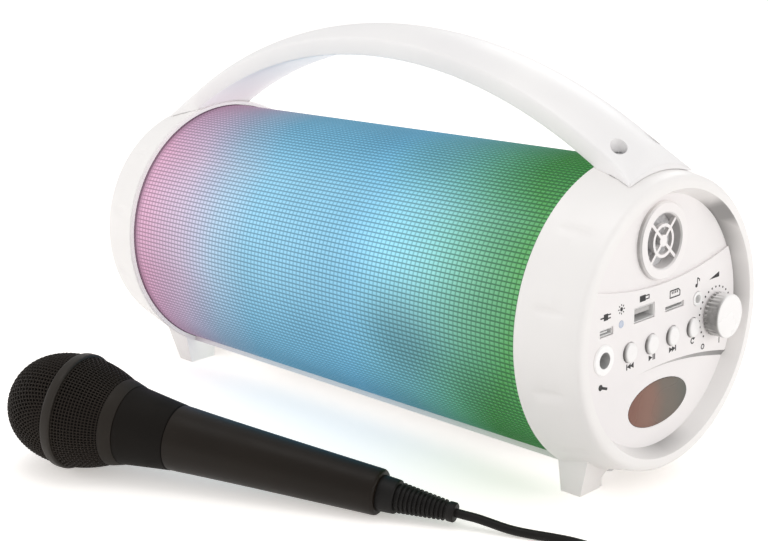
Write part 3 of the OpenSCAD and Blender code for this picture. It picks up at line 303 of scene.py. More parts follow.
def recess_painted_shade(n):
    """Painted shade, only on the cone between a cap's rim and its panel: darker high and low at the back, paler
    between.
    """
    along, across, rise = n.from_axis()
    radius = n.off_axis(across, rise)
    deep = abs(along - MIDDLE.x).math("GREATER_THAN", (HALF_LEN - RECESS_DEPTH) * MM)
    turn = n.math("ARCTAN2", rise, -across).math("DEGREES")
    wide = abs(turn - WIDE_TURN).span(6, 16, 0.85, 0)
    inwards = radius.span(0.052, 0.055, 1, 0.2).math("MAXIMUM", wide)
    return radius.math("LESS_THAN", RECESS_R) * deep * inwards * n.greys(turn.span(-150, 150, 0, 1), RECESS_SHADE)


def metal(name, colour, rough):
    """Plated or turned metal with faint scratches."""
    n = Nodes(name)
    streak = n.noise(900, 4, 0.6)
    return n.surface(n.mix(streak.span(0.3, 0.7, 0, 1), colour, darker(colour, 0.86)),
                     n.uneven(140, 3, rough - 0.06, rough + 0.1), n.bump(streak, 0.25, 0.00002), Metallic=1.0)


# ---- the light show and its grille
GRILLE_R = 63.0
GRILLE_T = 0.35
HOLE_PITCH_X = 2.43
HOLE_PITCH_ARC = 2.0
HOLE_W = 2.0
HOLE_H = 1.42
SHELL_HALF_ANGLE = 27.8
GRILLE_ROWS = int(math.radians(180 - SHELL_HALF_ANGLE) * GRILLE_R / HOLE_PITCH_ARC)
ROW_TURN = (180 - SHELL_HALF_ANGLE) / GRILLE_ROWS

SHOW = [  # place along the tube, colour
    (0.10, (228, 176, 204)), (0.20, (216, 196, 220)), (0.29, (178, 204, 228)), (0.38, (148, 204, 232)),
    (0.61, (140, 204, 234)), (0.72, (134, 196, 204)), (0.81, (122, 190, 160)), (0.89, (98, 174, 98))]
SHOW_GAIN = [  # height on the tube, brightness
    (0.06, 0.66), (0.21, 0.82), (0.46, 0.86), (0.62, 0.93), (0.72, 0.99), (0.82, 0.99), (0.91, 0.95),
    (0.965, 0.84), (0.998, 0.80)]
SPOTS = [  # along the tube, turn, reach, brightness added
    (-25, 26, 62, 0.10), (64, 30, 52, 0.34), (62, -8, 34, -0.22), (-66, -8, 40, 0.08),
    (22, 52, 44, 0.06), (108, -30, 40, -0.16), (10, -40, 60, -0.05)]


def show_light(n):
    """The light show's colours along the tube, with its brighter and darker patches, alike on both sides."""
    along, across, rise = n.from_axis()
    half = HALF_LEN * MM
    height = rise.span(-GRILLE_R * MM, GRILLE_R * MM, 0, 1)
    sway = (n.noise(9, 2) - 0.5) * 0.10
    lean = height.span(0.10, 0.42, 0.07, 0) + height.span(0.86, 0.99, 0, 0.06)
    place = (along - (MIDDLE.x - half)) / (2 * half)
    depth = height.span(0.10, 0.5, 1.4, 1).math("MAXIMUM", height.span(0.85, 0.98, 1, 1.3))
    colours = n.get("ShaderNodeGamma", "Color", {"Color": n.ramp(place + sway + lean, SHOW), "Gamma": depth})
    gain = n.greys(height, SHOW_GAIN) + n.uneven(14, 2, -0.06, 0.08)
    spot = n.joined(along, abs(across), rise)
    for x, turn, reach, more in SPOTS:
        a = math.radians(turn)
        middle = (MIDDLE.x + x * MM, GRILLE_R * math.cos(a) * MM, GRILLE_R * math.sin(a) * MM)
        far = n.get("ShaderNodeVectorMath", "Value", {0: spot, 1: middle}, operation="DISTANCE")
        gain = gain + far.span(reach * MM, 0, 0, more, interpolation_type="SMOOTHERSTEP")
    # painted shade: the show dims over its last few millimetres at each end, standing in for the shadow of the
    # caps' rims
    gain = gain * abs(along - MIDDLE.x).span(0.1245, 0.1268, 1, 0.3)
    return n.mix(1.0, colours, gain, "MULTIPLY")


def lit_diffuser():
    """The milky tube behind the grille, lit by the show."""
    n = Nodes("lit_diffuser")
    return n.surface(srgb(58, 76, 84), n.uneven(300, 2, 0.42, 0.58),
                     Emission_Color=show_light(n), Emission_Strength=1.03)


def lit_grille():
    """Painted grille with a painted glow: an emission stands in for the show's light on its webs, and the webs
    between holes of a row glow more than the webs between rows.
    """
    n = Nodes("lit_grille_paint")
    along, across, rise = n.from_axis()
    along = along - MIDDLE.x
    low = SHELL_HALF_ANGLE - 90
    turn = n.math("ARCTAN2", rise, across).math("DEGREES").math("WRAP", low + 360, low)
    off = abs(((turn - low) / ROW_TURN).math("FRACT") - 0.5)
    edge = HOLE_H / HOLE_PITCH_ARC / 2
    between_rows = along.span(0.03, 0.11, 0.52, 0.40) + abs(turn - 20.0).span(40, 70, 0, 0.10)
    between_holes = along.span(0.03, 0.11, 0.77, 0.68)
    web_glow = off.span(edge - 0.05, edge + 0.05, 1, 0) * (between_holes - between_rows) + between_rows
    return n.surface(srgb(36, 46, 52), n.uneven(420, 3, 0.62, 0.78), n.bump(n.noise(3000, 2), 0.3, 0.00002),
                     Specular_IOR_Level=0.15, Emission_Color=n.mix(1.0, show_light(n), web_glow, "MULTIPLY"),
                     Emission_Strength=1.0)


# ---- materials of single parts
JACK_Y, JACK_Z, JACK_BORE_R = -38.2, -6.4, 3.25


def window_material():
    """Smoked cover over a lamp: brown-red at its left end and grey-green at its right."""
    n = Nodes("smoked_window")
    _, y, z = n.split(n.place())
    lo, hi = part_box("window_lens")
    tall = hi.z - lo.z
    tone = n.ramp(y.span(lo.y, hi.y, 0, 1) + (n.noise(40, 2) - 0.5) * 0.3, [
        (0.05, (124, 82, 68)), (0.34, (132, 96, 82)), (0.62, (108, 98, 88)), (1.0, (90, 92, 85))], smooth=True)
    edge = abs(z - (hi.z + lo.z) / 2).span(0.3 * tall, 0.5 * tall, 1.0, 0.86)
    return n.surface(n.mix(1.0, tone, edge, "MULTIPLY"), n.uneven(30, 1, 0.26, 0.32), Specular_IOR_Level=0.3)


def pilot_material():
    n = Nodes("pilot_lamp")
    tone = n.mix(n.noise(900, 2), srgb(150, 158, 174), srgb(174, 180, 192))
    return n.surface(tone, n.uneven(500, 2, 0.15, 0.25), Emission_Color=tone, Emission_Strength=0.45)


def dome_material():
    """The tweeter's shiny dome: streaked grey, with painted shade that makes it darker towards the tube's front
    side.
    """
    n = Nodes("tweeter_dome")
    lo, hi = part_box("tweeter_grille")
    cloud = n.noise(150, 4, 0.6)
    across = n.split(n.place())[1].span(lo.y + 0.003, hi.y - 0.003, 0, 1)
    tone = n.ramp(across + (cloud - 0.5) * 1.5, [
        (0.0, (128, 127, 128)), (0.34, (172, 171, 172)), (0.6, (226, 225, 226)), (1.0, (246, 245, 245))],
        smooth=True)
    return n.surface(tone, n.uneven(300, 3, 0.2, 0.36), n.bump(cloud, 0.35, 0.0003))


def band_edge_material():
    """Painted shadow on the band's lower edge: pale where it is narrow, greyer where it is wide."""
    n = Nodes("band_edge_plastic")
    tone = n.ramp(n.from_axis()[1].span(0.045, -0.045, 0, 1), [
        (0.0, (232, 229, 228)), (0.45, (206, 203, 202)), (0.8, (160, 158, 157)), (1.0, (140, 138, 137))],
        smooth=True)
    return n.surface(tone, n.uneven(90, 2, 0.34, 0.46), n.bump(n.noise(GRAIN_SCALE, 2), 0.4, FINE_GRAIN))


def jack_material():
    """The microphone socket: a bright ring, and dull metal down its bore."""
    n = Nodes("mic_socket")
    _, y, z = n.split(n.place())
    off = n.off_axis(y - (FACE.y + JACK_Y * MM), z - (FACE.z + JACK_Z * MM))
    ring = off.span((JACK_BORE_R + 0.05) * MM, (JACK_BORE_R + 0.2) * MM, 0, 1)
    dull = n.mix(n.noise(400, 2), srgb(206, 205, 204), srgb(186, 185, 184))
    return n.surface(n.mix(ring, dull, srgb(254, 253, 252)), n.uneven(90, 2, 0.26, 0.36),
                     n.bump(n.noise(GRAIN_SCALE, 2), 0.3, 0.00003))


def worn(material, *names):
    """Puts a material on CAD nodes, and returns it."""
    for name in names:
        for slot in NODES[name].material_slots:
            slot.material = material
    return material


# tints of the painted glow under the handle and the lower shell
UNDERGLOW_PALE_BLUE, UNDERGLOW_WARM, UNDERGLOW_GREENISH = (0.93, 0.97, 1, 1), (1, 0.80, 0.68, 1), (0.8, 0.97, 0.86, 1)
# the grille's webs carry a painted glow
GRILLE_PAINTED_GLOW = worn(lit_grille(), "mesh_grille")
# painted shadow of the band's lower step
BAND_EDGE_PAINTED_SHADE = band_edge_material()
MARK = moulded("printed_marks", (26, 25, 27), (34, 33, 35), 0.5)
# the handle's underside takes a painted glow
WHITE_HANDLE = worn(moulded("white_handle_plastic", (246, 244, 243), (240, 238, 238), 0.36, painted_underglow=0.36,
                            underglow_tints=(UNDERGLOW_WARM, UNDERGLOW_GREENISH)), "handle")
# painted shade on the knob's side walls
KNOB_SKIN = worn(painted_shade_plastic("knob_plastic", (250, 248, 247), (128, 127, 125), 0.28), "volume_knob")
MIC_MESH = worn(moulded("mic_mesh_paint", (42, 36, 31), (30, 26, 22), 0.52, 0.14),
                "mic_front_mesh", "mic_rear_mesh")
MIC_RING = worn(moulded("mic_ring_paint", (46, 41, 36), (38, 34, 30), 0.42, 0.2), "mic_ring")
MIC_COLLAR = worn(moulded("mic_collar_plastic", (40, 35, 30), (32, 28, 24), 0.55, 0.16), "mic_collar")
MIC_GRIP = worn(moulded("mic_grip_plastic", (30, 23, 16), (24, 18, 12), 0.42, 0.18),
                "mic_grip", "mic_strain_relief")
MIC_NECK = moulded("mic_neck_plastic", (20, 16, 12), (15, 12, 9), 0.62, 0.12)
FOAM = worn(moulded("mic_foam", (22, 19, 17), (12, 10, 9), 0.95, 0.1, grain=0.0003, grain_scale=1400),
            "mic_foam")
RUBBER = worn(moulded("cord_rubber", (24, 22, 20), (18, 16, 15), 0.5, 0.2, grain=0.00006),
              "mic_cord", "cord_coil", "plug_lead", "plug_shell")
FABRIC = worn(moulded("tie_fabric", (44, 44, 48), (30, 30, 34), 0.9, grain=0.0002, grain_scale=1800),
              "cord_tie")
# the lower shell's underside takes a painted glow
worn(moulded("white_shell_plastic", (246, 243, 241), (240, 237, 236), 0.34, painted_underglow=0.26,
             underglow_tints=(UNDERGLOW_PALE_BLUE, UNDERGLOW_PALE_BLUE)), "lower_shell")
# painted shade in the caps' recesses and a painted glow on their inner faces
worn(painted_shade_plastic("white_cap_plastic", (246, 243, 241), (128, 126, 125), 0.34, cap=True), "left_cap", "right_cap")
worn(moulded("white_panel_plastic", (245, 241, 240), (239, 235, 235), 0.38), "control_panel", "left_panel")
# painted shade on the walls of the tweeter grille and the buttons
worn(painted_shade_plastic("white_tweeter_plastic", (247, 243, 242), (166, 164, 163), 0.36), "tweeter_grille")
worn(painted_shade_plastic("white_button_plastic", (250, 248, 247), (104, 102, 100), 0.30),
     "button_previous", "button_play", "button_next", "button_mode")
worn(moulded("white_socket_plastic", (252, 251, 250), (247, 246, 245), 0.28), "line_jack")
worn(jack_material(), "mic_jack")
worn(metal("bright_steel", (0.62, 0.62, 0.63, 1), 0.3), "shell_screws", "handle_screws", "panel_screws",
     "board_screws", "pot_nut", "pot_shaft", "mic_capsule")
worn(metal("plated_nickel", (0.70, 0.69, 0.66, 1), 0.2), "plug_pin")
worn(moulded("pale_tin", (240, 239, 238), (222, 221, 220), 0.3), "usb_socket", "card_socket", "charge_socket")
worn(dome_material(), "tweeter_driver")
worn(moulded("socket_insert", (196, 194, 192), (176, 174, 172), 0.45), "usb_tongue", "potentiometer")
worn(moulded("dark_plastic", (40, 40, 42), (32, 32, 34), 0.45), "tact_switches", "plug_insulator")
worn(moulded("circuit_board", (28, 92, 52), (22, 78, 46), 0.4), "control_board", "main_board", "window_lamp")
worn(moulded("chassis_plastic", (222, 222, 220), (210, 210, 208), 0.5), "chassis", "led_bar", "led_strips")
worn(moulded("light_chip", (250, 240, 190), (240, 226, 170), 0.4), "led_chips")
worn(moulded("cell_wrap", (52, 96, 168), (44, 84, 150), 0.35), "battery_pack")
worn(moulded("woofer_rubber", (38, 38, 40), (28, 28, 30), 0.6), "woofer_grille", "woofer_basket")
worn(moulded("cone_paper", (50, 50, 52), (38, 38, 40), 0.85, grain=0.0001), "woofer_cone")
worn(moulded("ferrite", (70, 70, 74), (58, 58, 62), 0.55), "woofer_magnet")
worn(window_material(), "window_lens")
worn(pilot_material(), "pilot_light")
worn(lit_diffuser(), "diffuser_tube")


# ---- mesh helpers
def add_object(name, data, material, body):
    piece = link(name, data)
    piece.data.materials.append(material)
    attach(piece, body)
    return piece


def mesh_of(name, points, faces):
    """A mesh from points in metres, its faces turned outwards."""
    mesh = bpy.data.meshes.new(name)
    mesh.from_pydata([tuple(p) for p in points], [], faces)
    mesh.validate()
    work = bmesh.new()
    work.from_mesh(mesh)
    bmesh.ops.recalc_face_normals(work, faces=work.faces)
    work.to_mesh(mesh)
    work.free()
    return mesh


def add_mesh(name, points, faces, material, body, smooth, slot, *nodes):
    """A piece from points in metres, in place of the CAD nodes; smooth is the sharpest angle shaded round."""
    mesh = mesh_of(name, points, faces)
    if smooth:
        shade(mesh, smooth)
    piece = add_object(name, mesh, material, body)
    if nodes:
        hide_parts(*nodes)
    return piece


def shade(mesh, angle):
    mesh.shade_smooth()
    mesh.set_sharp_from_angle(angle=math.radians(angle))


def ring_faces(rings, around, close_rings=False):
    """Quads between rings of points; close_rings joins the last ring to the first."""
    faces = []
    for i in range(rings if close_rings else rings - 1):
        below, above = i * around, (i + 1) % rings * around
        for k in range(around):
            nxt = (k + 1) % around
            faces.append((below + k, below + nxt, above + nxt, above + k))
    return faces


def shifted(faces, base):
    return [tuple(base + v for v in face) for face in faces]


def solid_faces(rings, around, base=0):
    """Quads between rings of points, and a face over each end; base is the first point's number."""
    ends = [tuple(reversed(range(around))), tuple((rings - 1) * around + k for k in range(around))]
    return shifted(ring_faces(rings, around) + ends, base)


def circle(y, z, radius, count):
    return [(y + radius * math.cos(FULL_TURN * k / count), z + radius * math.sin(FULL_TURN * k / count))
            for k in range(count)]


def lathe(profile, turns, place):
    """Points of a profile of (along, radius) turned round an axis; place maps (along, y, z) to the frame."""
    return [place(along, y, z) for along, radius in profile for y, z in circle(0, 0, radius, turns)]


def arc(centre, radius, start, end, steps):
    turns = [math.radians(start + (end - start) * i / steps) for i in range(steps + 1)]
    return [(centre[0] + radius * math.cos(a), centre[1] + radius * math.sin(a)) for a in turns]


# ---- the cord, first of all
CORD_D = 3.6
COIL_CENTRE = (206, -62)
COIL_LOOPS = 3
COIL_LAYERS = 4
COIL_TURNS = COIL_LOOPS * COIL_LAYERS
COIL_MID_R = 21
COIL_PITCH = CORD_D + 0.7
TIE_T, TIE_W, TIE_GAP, TIE_CORNER = 0.6, 6.0, 0.3, 2.2
COIL_BASE = TIE_T + TIE_GAP + CORD_D / 2
COIL_STEPS = 24
ROUTE_STEPS = 3
MIC_RING_FORWARD = 151.5
MIC_RING_ALONG = -46.9
MIC_HEADING = math.radians(21.3)
RING_R = 25.3
RING_W = 4.6
TAIL_R = 9.4
TAIL_S = 144.8
RELIEF_END = TAIL_S + 31.9
MIC_TILT = math.atan((RING_R - TAIL_R) / (TAIL_S - RING_W / 2))
MIC_RISE = RING_R * math.cos(MIC_TILT) + RING_W / 2 * math.sin(MIC_TILT)
MIC_PLACE = Vector((MIDDLE.x / MM + MIC_RING_ALONG, FACE.y / MM - MIC_RING_FORWARD, MIC_RISE))
MIC_AXIS = Vector((math.cos(MIC_TILT) * math.cos(MIC_HEADING),
                   math.cos(MIC_TILT) * math.sin(MIC_HEADING), -math.sin(MIC_TILT)))
MIC_SIDE = Vector((-math.sin(MIC_HEADING), math.cos(MIC_HEADING), 0))
MIC_UP = MIC_AXIS.cross(MIC_SIDE)
PLUG_AT = Vector((247, -66, 5.5))
CORD_OUT = [(136, -24.5, 2.6), (144, -21, 1.9), (152, -18, 1.9), (160, -15.5, 1.9), (168, -14.5, 1.9),
            (176, -16, 1.9), (183, -20, 1.9), (189, -25.5, 2.1), (195, -30.5, 2.4)]
CORD_BACK = [(222, -35, 13), (230, -37.5, 9.5), (237, -41, 6), (243, -46, 3.6), (246.4, -52.5, 3.6)]


def at_mic(along, y, z):
    """A point in millimetres from the middle of the microphone's ring, along towards its tail."""
    return (MIC_PLACE + MIC_AXIS * along + MIC_SIDE * y + MIC_UP * z) * MM


def coil_point(t):
    """The coil after t loops: out and in again in layers, each a pitch higher."""
    radius = COIL_MID_R - COIL_LOOPS * COIL_PITCH / 2 + COIL_PITCH * abs(t % (2 * COIL_LOOPS) - COIL_LOOPS)
    climbed = sum(max(0.0, min(1.0, (t - k * COIL_LOOPS) * 2 + 0.5)) for k in range(1, COIL_LAYERS))
    a = FULL_TURN * t
    return Vector((COIL_CENTRE[0] + radius * math.sin(a), COIL_CENTRE[1] + radius * math.cos(a),
                   COIL_BASE + COIL_PITCH * climbed))


def cord_route():
    """The cord's points in millimetres: out of the microphone, over the floor, round the coil, to the plug."""
    start, finish = coil_point(0), coil_point(COIL_TURNS)
    straight = Vector((CORD_D, 0, 0))
    ahead = Vector((CORD_D + 4, 0, 0))
    out = [at_mic(RELIEF_END + s, 0, 0) / MM for s in (0, 4, 10)]
    out += [Vector(p) for p in CORD_OUT] + [start - ahead, start - straight]
    turns = [coil_point(i / COIL_STEPS) for i in range(COIL_TURNS * COIL_STEPS + 1)]
    back = [finish + straight, finish + ahead] + [Vector(p) for p in CORD_BACK]
    return out + turns + back + [PLUG_AT + Vector((0, 6, 0)), PLUG_AT]


def rounded_route(points, steps):
    """A smooth line through the points."""
    out = []
    last = len(points) - 1
    for i in range(last):
        p0, p1 = points[max(i - 1, 0)], points[i]
        p2, p3 = points[i + 1], points[min(i + 2, last)]
        for k in range(steps):
            t = k / steps
            out.append(0.5 * (2 * p1 + (p2 - p0) * t + (2 * p0 - 5 * p1 + 4 * p2 - p3) * t * t
                              + (3 * p1 - p0 - 3 * p2 + p3) * t * t * t))
    out.append(points[last])
    return out


def make_tie():
    """A woven strap with rounded corners round one side of the coil, its end lapped over."""
    half = COIL_LOOPS * COIL_PITCH / 2 + CORD_D / 2 + TIE_GAP + TIE_T
    middle = COIL_CENTRE[1] - COIL_MID_R
    low_y, high_y = middle - half + TIE_CORNER, middle + half - TIE_CORNER
    high_z = COIL_PITCH * (COIL_LAYERS - 1) + CORD_D + 2 * (TIE_GAP + TIE_T)
    corners = [(high_y, high_z - TIE_CORNER), (low_y, high_z - TIE_CORNER), (low_y, TIE_CORNER),
               (high_y, TIE_CORNER)]
    section = [(-0.5, 0.12), (-0.46, 0.0), (0.46, 0.0), (0.5, 0.12), (0.5, TIE_T - 0.12), (0.46, TIE_T),
               (-0.46, TIE_T), (-0.5, TIE_T - 0.12)]
    points = []
    for part, inset in section:
        loop = [p for i, corner in enumerate(corners)
                for p in arc(corner, TIE_CORNER - inset, 90 * i, 90 * i + 90, 8)]
        points += [Vector((COIL_CENTRE[0] + part * TIE_W, y, z)) * MM for y, z in loop]
    faces = ring_faces(len(section), len(loop), close_rings=True)
    base, lap = len(points), 8
    for i in range(lap):
        top = (0.05 if i else -0.1) + 0.35
        for x, z in ((-2.9, -0.05), (-2.9, top), (2.9, top), (2.9, -0.05)):
            points.append(Vector((COIL_CENTRE[0] + x, high_y - 6 + 0.8 * i, high_z - TIE_T / 2 + z)) * MM)
    return add_mesh("coil_tie", points, faces + solid_faces(lap, 4, base), FABRIC, "microphone", 40,
                    "tie_fabric", "cord_tie")


def make_cord():
    line = [p * MM for p in rounded_route(cord_route(), ROUTE_STEPS)]
    curve = bpy.data.curves.new("microphone_cord", "CURVE")
    put(curve, dimensions="3D", bevel_depth=CORD_D / 2 * MM, bevel_resolution=4, use_fill_caps=True)
    spline = curve.splines.new("POLY")
    spline.points.add(len(line) - 1)
    for point, place in zip(spline.points, line):
        point.co = (*place, 1)
    cord = add_object("microphone_cord", curve, RUBBER, "microphone")
    length = sum((b - a).length for a, b in zip(line, line[1:]))
    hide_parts("mic_cord", "cord_coil", "plug_lead")
    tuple(line[0])
    [NODES[n] for n in ("plug_shell", "plug_pin", "plug_insulator")] + [make_tie()]


make_cord()


# ---- grille
def at_tube(x, radius, turn):
    """A point from the tube's middle: x along it and turn in degrees from the front, rising."""
    a = math.radians(turn)
    return at_middle(x, -radius * math.cos(a), radius * math.sin(a))


def hole_edges(start, step, count, size):
    """Both edges of each of a row of holes."""
    middles = [start + (i + 0.5) * step for i in range(count)]
    return [middle + side * size / 2 for middle in middles for side in (-1, 1)]


def perforated_sheet(name, first_turn, last_turn):
    """A curved sheet with rows of square holes, as one closed skin: outside, inside and the holes' walls."""
    node_lo, node_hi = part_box("mesh_grille")
    length = (node_hi.x - node_lo.x) / MM
    columns = int(length / HOLE_PITCH_X)
    xs = [-length / 2, *hole_edges(-length / 2, length / columns, columns, HOLE_W), length / 2]
    turns = [first_turn, *hole_edges(first_turn, ROW_TURN, GRILLE_ROWS, math.degrees(HOLE_H / GRILLE_R)),
             last_turn]
    wide, high = len(xs), len(turns)
    points = [at_tube(x, r, t) for r in (GRILLE_R, GRILLE_R - GRILLE_T) for t in turns for x in xs]
    back = wide * high
    faces, edges = [], set()
    for j in range(high - 1):
        for i in range(wide - 1):
            if i % 2 == 0 or j % 2 == 0:
                a = j * wide + i
                corners = (a, a + 1, a + 1 + wide, a + wide)
                faces += [corners, tuple(c + back for c in reversed(corners))]
                edges.update(zip(corners, corners[1:] + corners[:1]))
    faces += [(q, p, p + back, q + back) for p, q in sorted(edges) if (q, p) not in edges]
    add_mesh(name, points, faces, GRILLE_PAINTED_GLOW, "speaker", 30, "grille_steel", "mesh_grille")


TOP_TURN = 90
perforated_sheet("grille_front", SHELL_HALF_ANGLE - 90, TOP_TURN)
perforated_sheet("grille_back", TOP_TURN, 270 - SHELL_HALF_ANGLE)


# ---- handle
# heights over the axis at the handle's middle and at the caps' faces
HANDLE_TOP = (111.7, 60.9)
HANDLE_EDGE = (106.9, 53.6)
HANDLE_UNDER = (98.8, 44.0)
HANDLE_HALF_W = 17.5
HANDLE_FOOT_HALF_W = 20.5
HANDLE_FLARE = 14.0
HANDLE_END = HALF_LEN - 7.5
HANDLE_NOSE_LEN = 7.0
HANDLE_NOSE_DROP = 0.42
HANDLE_STEPS = 72
HANDLE_SCREW_IN = 20.0
HANDLE_SCREW_Y = 11.0
HANDLE_SCREW_R = 3.4
BEZEL_R = 60.0
RIM_R = 65.7
SEAT_GAP = 0.3
HANDLE_SEAT_Z = BEZEL_R + (RIM_R - BEZEL_R) * HANDLE_SCREW_IN / CAP_LEN + 3


def share(value, low, high):
    """How far a value lies from low to high, from 0 to 1."""
    return max(0.0, min(1.0, (value - low) / (high - low)))


def arch(x, heights):
    """Height over the axis of an arc with the given heights at its middle and at the caps' faces."""
    middle, end = heights
    drop = middle - end
    radius = (HALF_LEN ** 2 + drop ** 2) / 2 / drop
    return middle - radius + math.sqrt(radius ** 2 - x ** 2)


def handle_section(x, tuck=0.0):
    """Points (y, z) round the arch at x, with its edges rounded; tuck draws the whole section in."""
    flare = share(abs(x), HANDLE_END - HANDLE_FLARE, HANDLE_END) ** 1.6
    w = HANDLE_HALF_W + (HANDLE_FOOT_HALF_W - HANDLE_HALF_W) * flare - tuck
    low, edge, top = arch(x, HANDLE_UNDER) + tuck, arch(x, HANDLE_EDGE), arch(x, HANDLE_TOP)
    t = share(abs(x), HANDLE_END - HANDLE_NOSE_LEN, HANDLE_END)
    rise = (top - edge) * (1 - HANDLE_NOSE_DROP * (1 - math.sqrt(1 - t * t))) - tuck
    crown = [(w * t, edge + rise * (1 - t * t)) for t in (k / 12 * 0.975 for k in range(-12, 13))]
    right = [(w * 0.993, edge - 0.1), (w, edge - 0.6), (w, edge - 2.2),
             (w, low + 1.6), (w - 0.35, low + 0.45), (w - 1.3, low)]
    floor = [(w * f, low) for f in (0.6, 0.2, -0.2, -0.6)]
    return crown + right + floor + [(-y, z) for y, z in reversed(right)]


def cap_cutter(side):
    """A solid of the cap's outer form, a little larger, to cut the handle's seat."""
    profile = [(2, BEZEL_R + SEAT_GAP), (0, BEZEL_R + SEAT_GAP), (-CAP_LEN, RIM_R + SEAT_GAP),
               (-CAP_LEN - 20, RIM_R + SEAT_GAP)]
    points = lathe(profile, 192, lambda along, y, z: at_middle(side * (HALF_LEN + along), y, z))
    return link("cap_cutter", mesh_of("cap_cutter", points, solid_faces(len(profile), 192)))


def screw_cutter(x, y):
    """An upright pin, to cut a screw's recess."""
    points = [at_middle(cx, cy, z) for z in (HANDLE_SEAT_Z, HANDLE_SEAT_Z + 40)
              for cx, cy in circle(x, y, HANDLE_SCREW_R, 48)]
    return link("screw_cutter", mesh_of("screw_cutter", points, solid_faces(2, 48)))


def cut(piece, cutters):
    """Subtracts the cutters from a mesh piece for good, and removes them."""
    for cutter in cutters:
        put(piece.modifiers.new("cut", "BOOLEAN"), operation="DIFFERENCE", solver="EXACT", object=cutter)
    bpy.context.view_layer.update()
    made = bpy.data.meshes.new_from_object(piece.evaluated_get(bpy.context.evaluated_depsgraph_get()))
    made.name = piece.data.name
    piece.modifiers.clear()
    piece.data = made
    for cutter in cutters:
        bpy.data.objects.remove(cutter)


def make_handle():
    body = HANDLE_END - HANDLE_NOSE_LEN
    nose = [body + HANDLE_NOSE_LEN * math.sin(math.radians(90 * i / 8)) for i in range(1, 8)] + [HANDLE_END - 0.4]
    xs = [-x for x in reversed(nose)] + [body * (2 * i / HANDLE_STEPS - 1) for i in range(HANDLE_STEPS + 1)] + nose
    sections = [(x, handle_section(x)) for x in xs]
    first, last = ((x, handle_section(x, 0.4)) for x in (-HANDLE_END, HANDLE_END))
    sections = [first, *sections, last]
    points = [at_middle(x, y, z) for x, section in sections for y, z in section]
    handle = add_mesh("carry_handle", points, solid_faces(len(sections), len(first[1])), WHITE_HANDLE,
                      "speaker", 0, "white_case", "handle")
    screws = [screw_cutter(side * (HALF_LEN - HANDLE_SCREW_IN), y)
              for side in (-1, 1) for y in (-HANDLE_SCREW_Y, HANDLE_SCREW_Y)]
    cut(handle, [cap_cutter(1), cap_cutter(-1)] + screws)
    shade(handle.data, SHARP_ANGLE)


make_handle()


# ---- microphone
HEAD_LEN = 31.5
MESH_R = 24.2
COLLAR_S = 21.9
COLLAR_R = 18.5
SEAM_S = 50.6
SEAM_R = 14.1
HEAD_POWER = 2.3
NET_PITCH = 1.78
NET_BALL_R = 26.5
NET_TURN = 38
WIRE_R = 0.34
REAR_PITCH = 1.35
REAR_WIRE_R = 0.3


def bulge(ahead, across):
    """How far the head's rounded form is along a direction, both shares measured in its own length and radius."""
    return (ahead ** HEAD_POWER + across ** HEAD_POWER) ** (-1 / HEAD_POWER)


def head_radius(direction):
    """Distance from the ring's middle to the head's surface along a unit direction (back, y, z)."""
    return bulge(max(0.0, -direction.x) / HEAD_LEN, math.hypot(direction.y, direction.z) / MESH_R)


def third_corner(a, b, c, step):
    """The point on the unit ball one step from a and from b, on the side away from c."""
    middle = (a + b).normalized()
    span = math.acos(max(-1.0, min(1.0, a.dot(b)))) / 2
    if span >= step:
        return None
    rise = math.acos(min(1.0, math.cos(step) / math.cos(span)))
    across = a.cross(b).normalized()
    if across.dot(c) > 0:
        across = -across
    return (middle * math.cos(rise) + across * math.sin(rise)).normalized()


def pressed_net(step, count):
    """Crossings of a square weave pressed over a ball, for one quarter, as unit directions."""
    net = {}
    for i in range(count):
        a = i * step
        net[i, 0] = Vector((-math.cos(a), math.sin(a), 0))
        net[0, i] = Vector((-math.cos(a), 0, math.sin(a)))
    for i in range(1, count):
        for j in range(1, count):
            known = net.get((i - 1, j)), net.get((i, j - 1)), net.get((i - 1, j - 1))
            if None not in known:
                d = third_corner(*known, step)
                if d is not None and d.x < 0.35:
                    net[i, j] = d
    return net


def add_tube(points, faces, line, radius, sides, guide, closed=False):
    """A wire along a line, with ends or closed to a ring; guide gives the outward direction at each point."""
    base = len(points)
    last = len(line) - 1
    for i, p in enumerate(line):
        before, after = (i - 1, (i + 1) % len(line)) if closed else (max(i - 1, 0), min(i + 1, last))
        ahead = (line[after] - line[before]).normalized()
        out = guide[i] if closed else (guide[i] - ahead * guide[i].dot(ahead)).normalized()
        side = ahead.cross(out)
        for k in range(sides):
            a = FULL_TURN * (k + 0.5) / sides
            points.append(p + (out * math.sin(a) + side * math.cos(a)) * radius)
    faces += (shifted(ring_faces(len(line), sides, True), base) if closed
              else solid_faces(len(line), sides, base))


def woven_line(spots, over_first, lift):
    """A wire over and under the crossings it passes; returns its line and outward directions."""
    line, guide = [], []
    for i, (spot, out) in enumerate(spots):
        sign = 1 if (i + over_first) % 2 == 0 else -1
        line.append(spot + out * lift * sign)
        guide.append(out)
        if i + 1 < len(spots):
            nxt, nxt_out = spots[i + 1]
            line.append((spot + nxt) / 2)
            guide.append((out + nxt_out).normalized())
    return line, guide


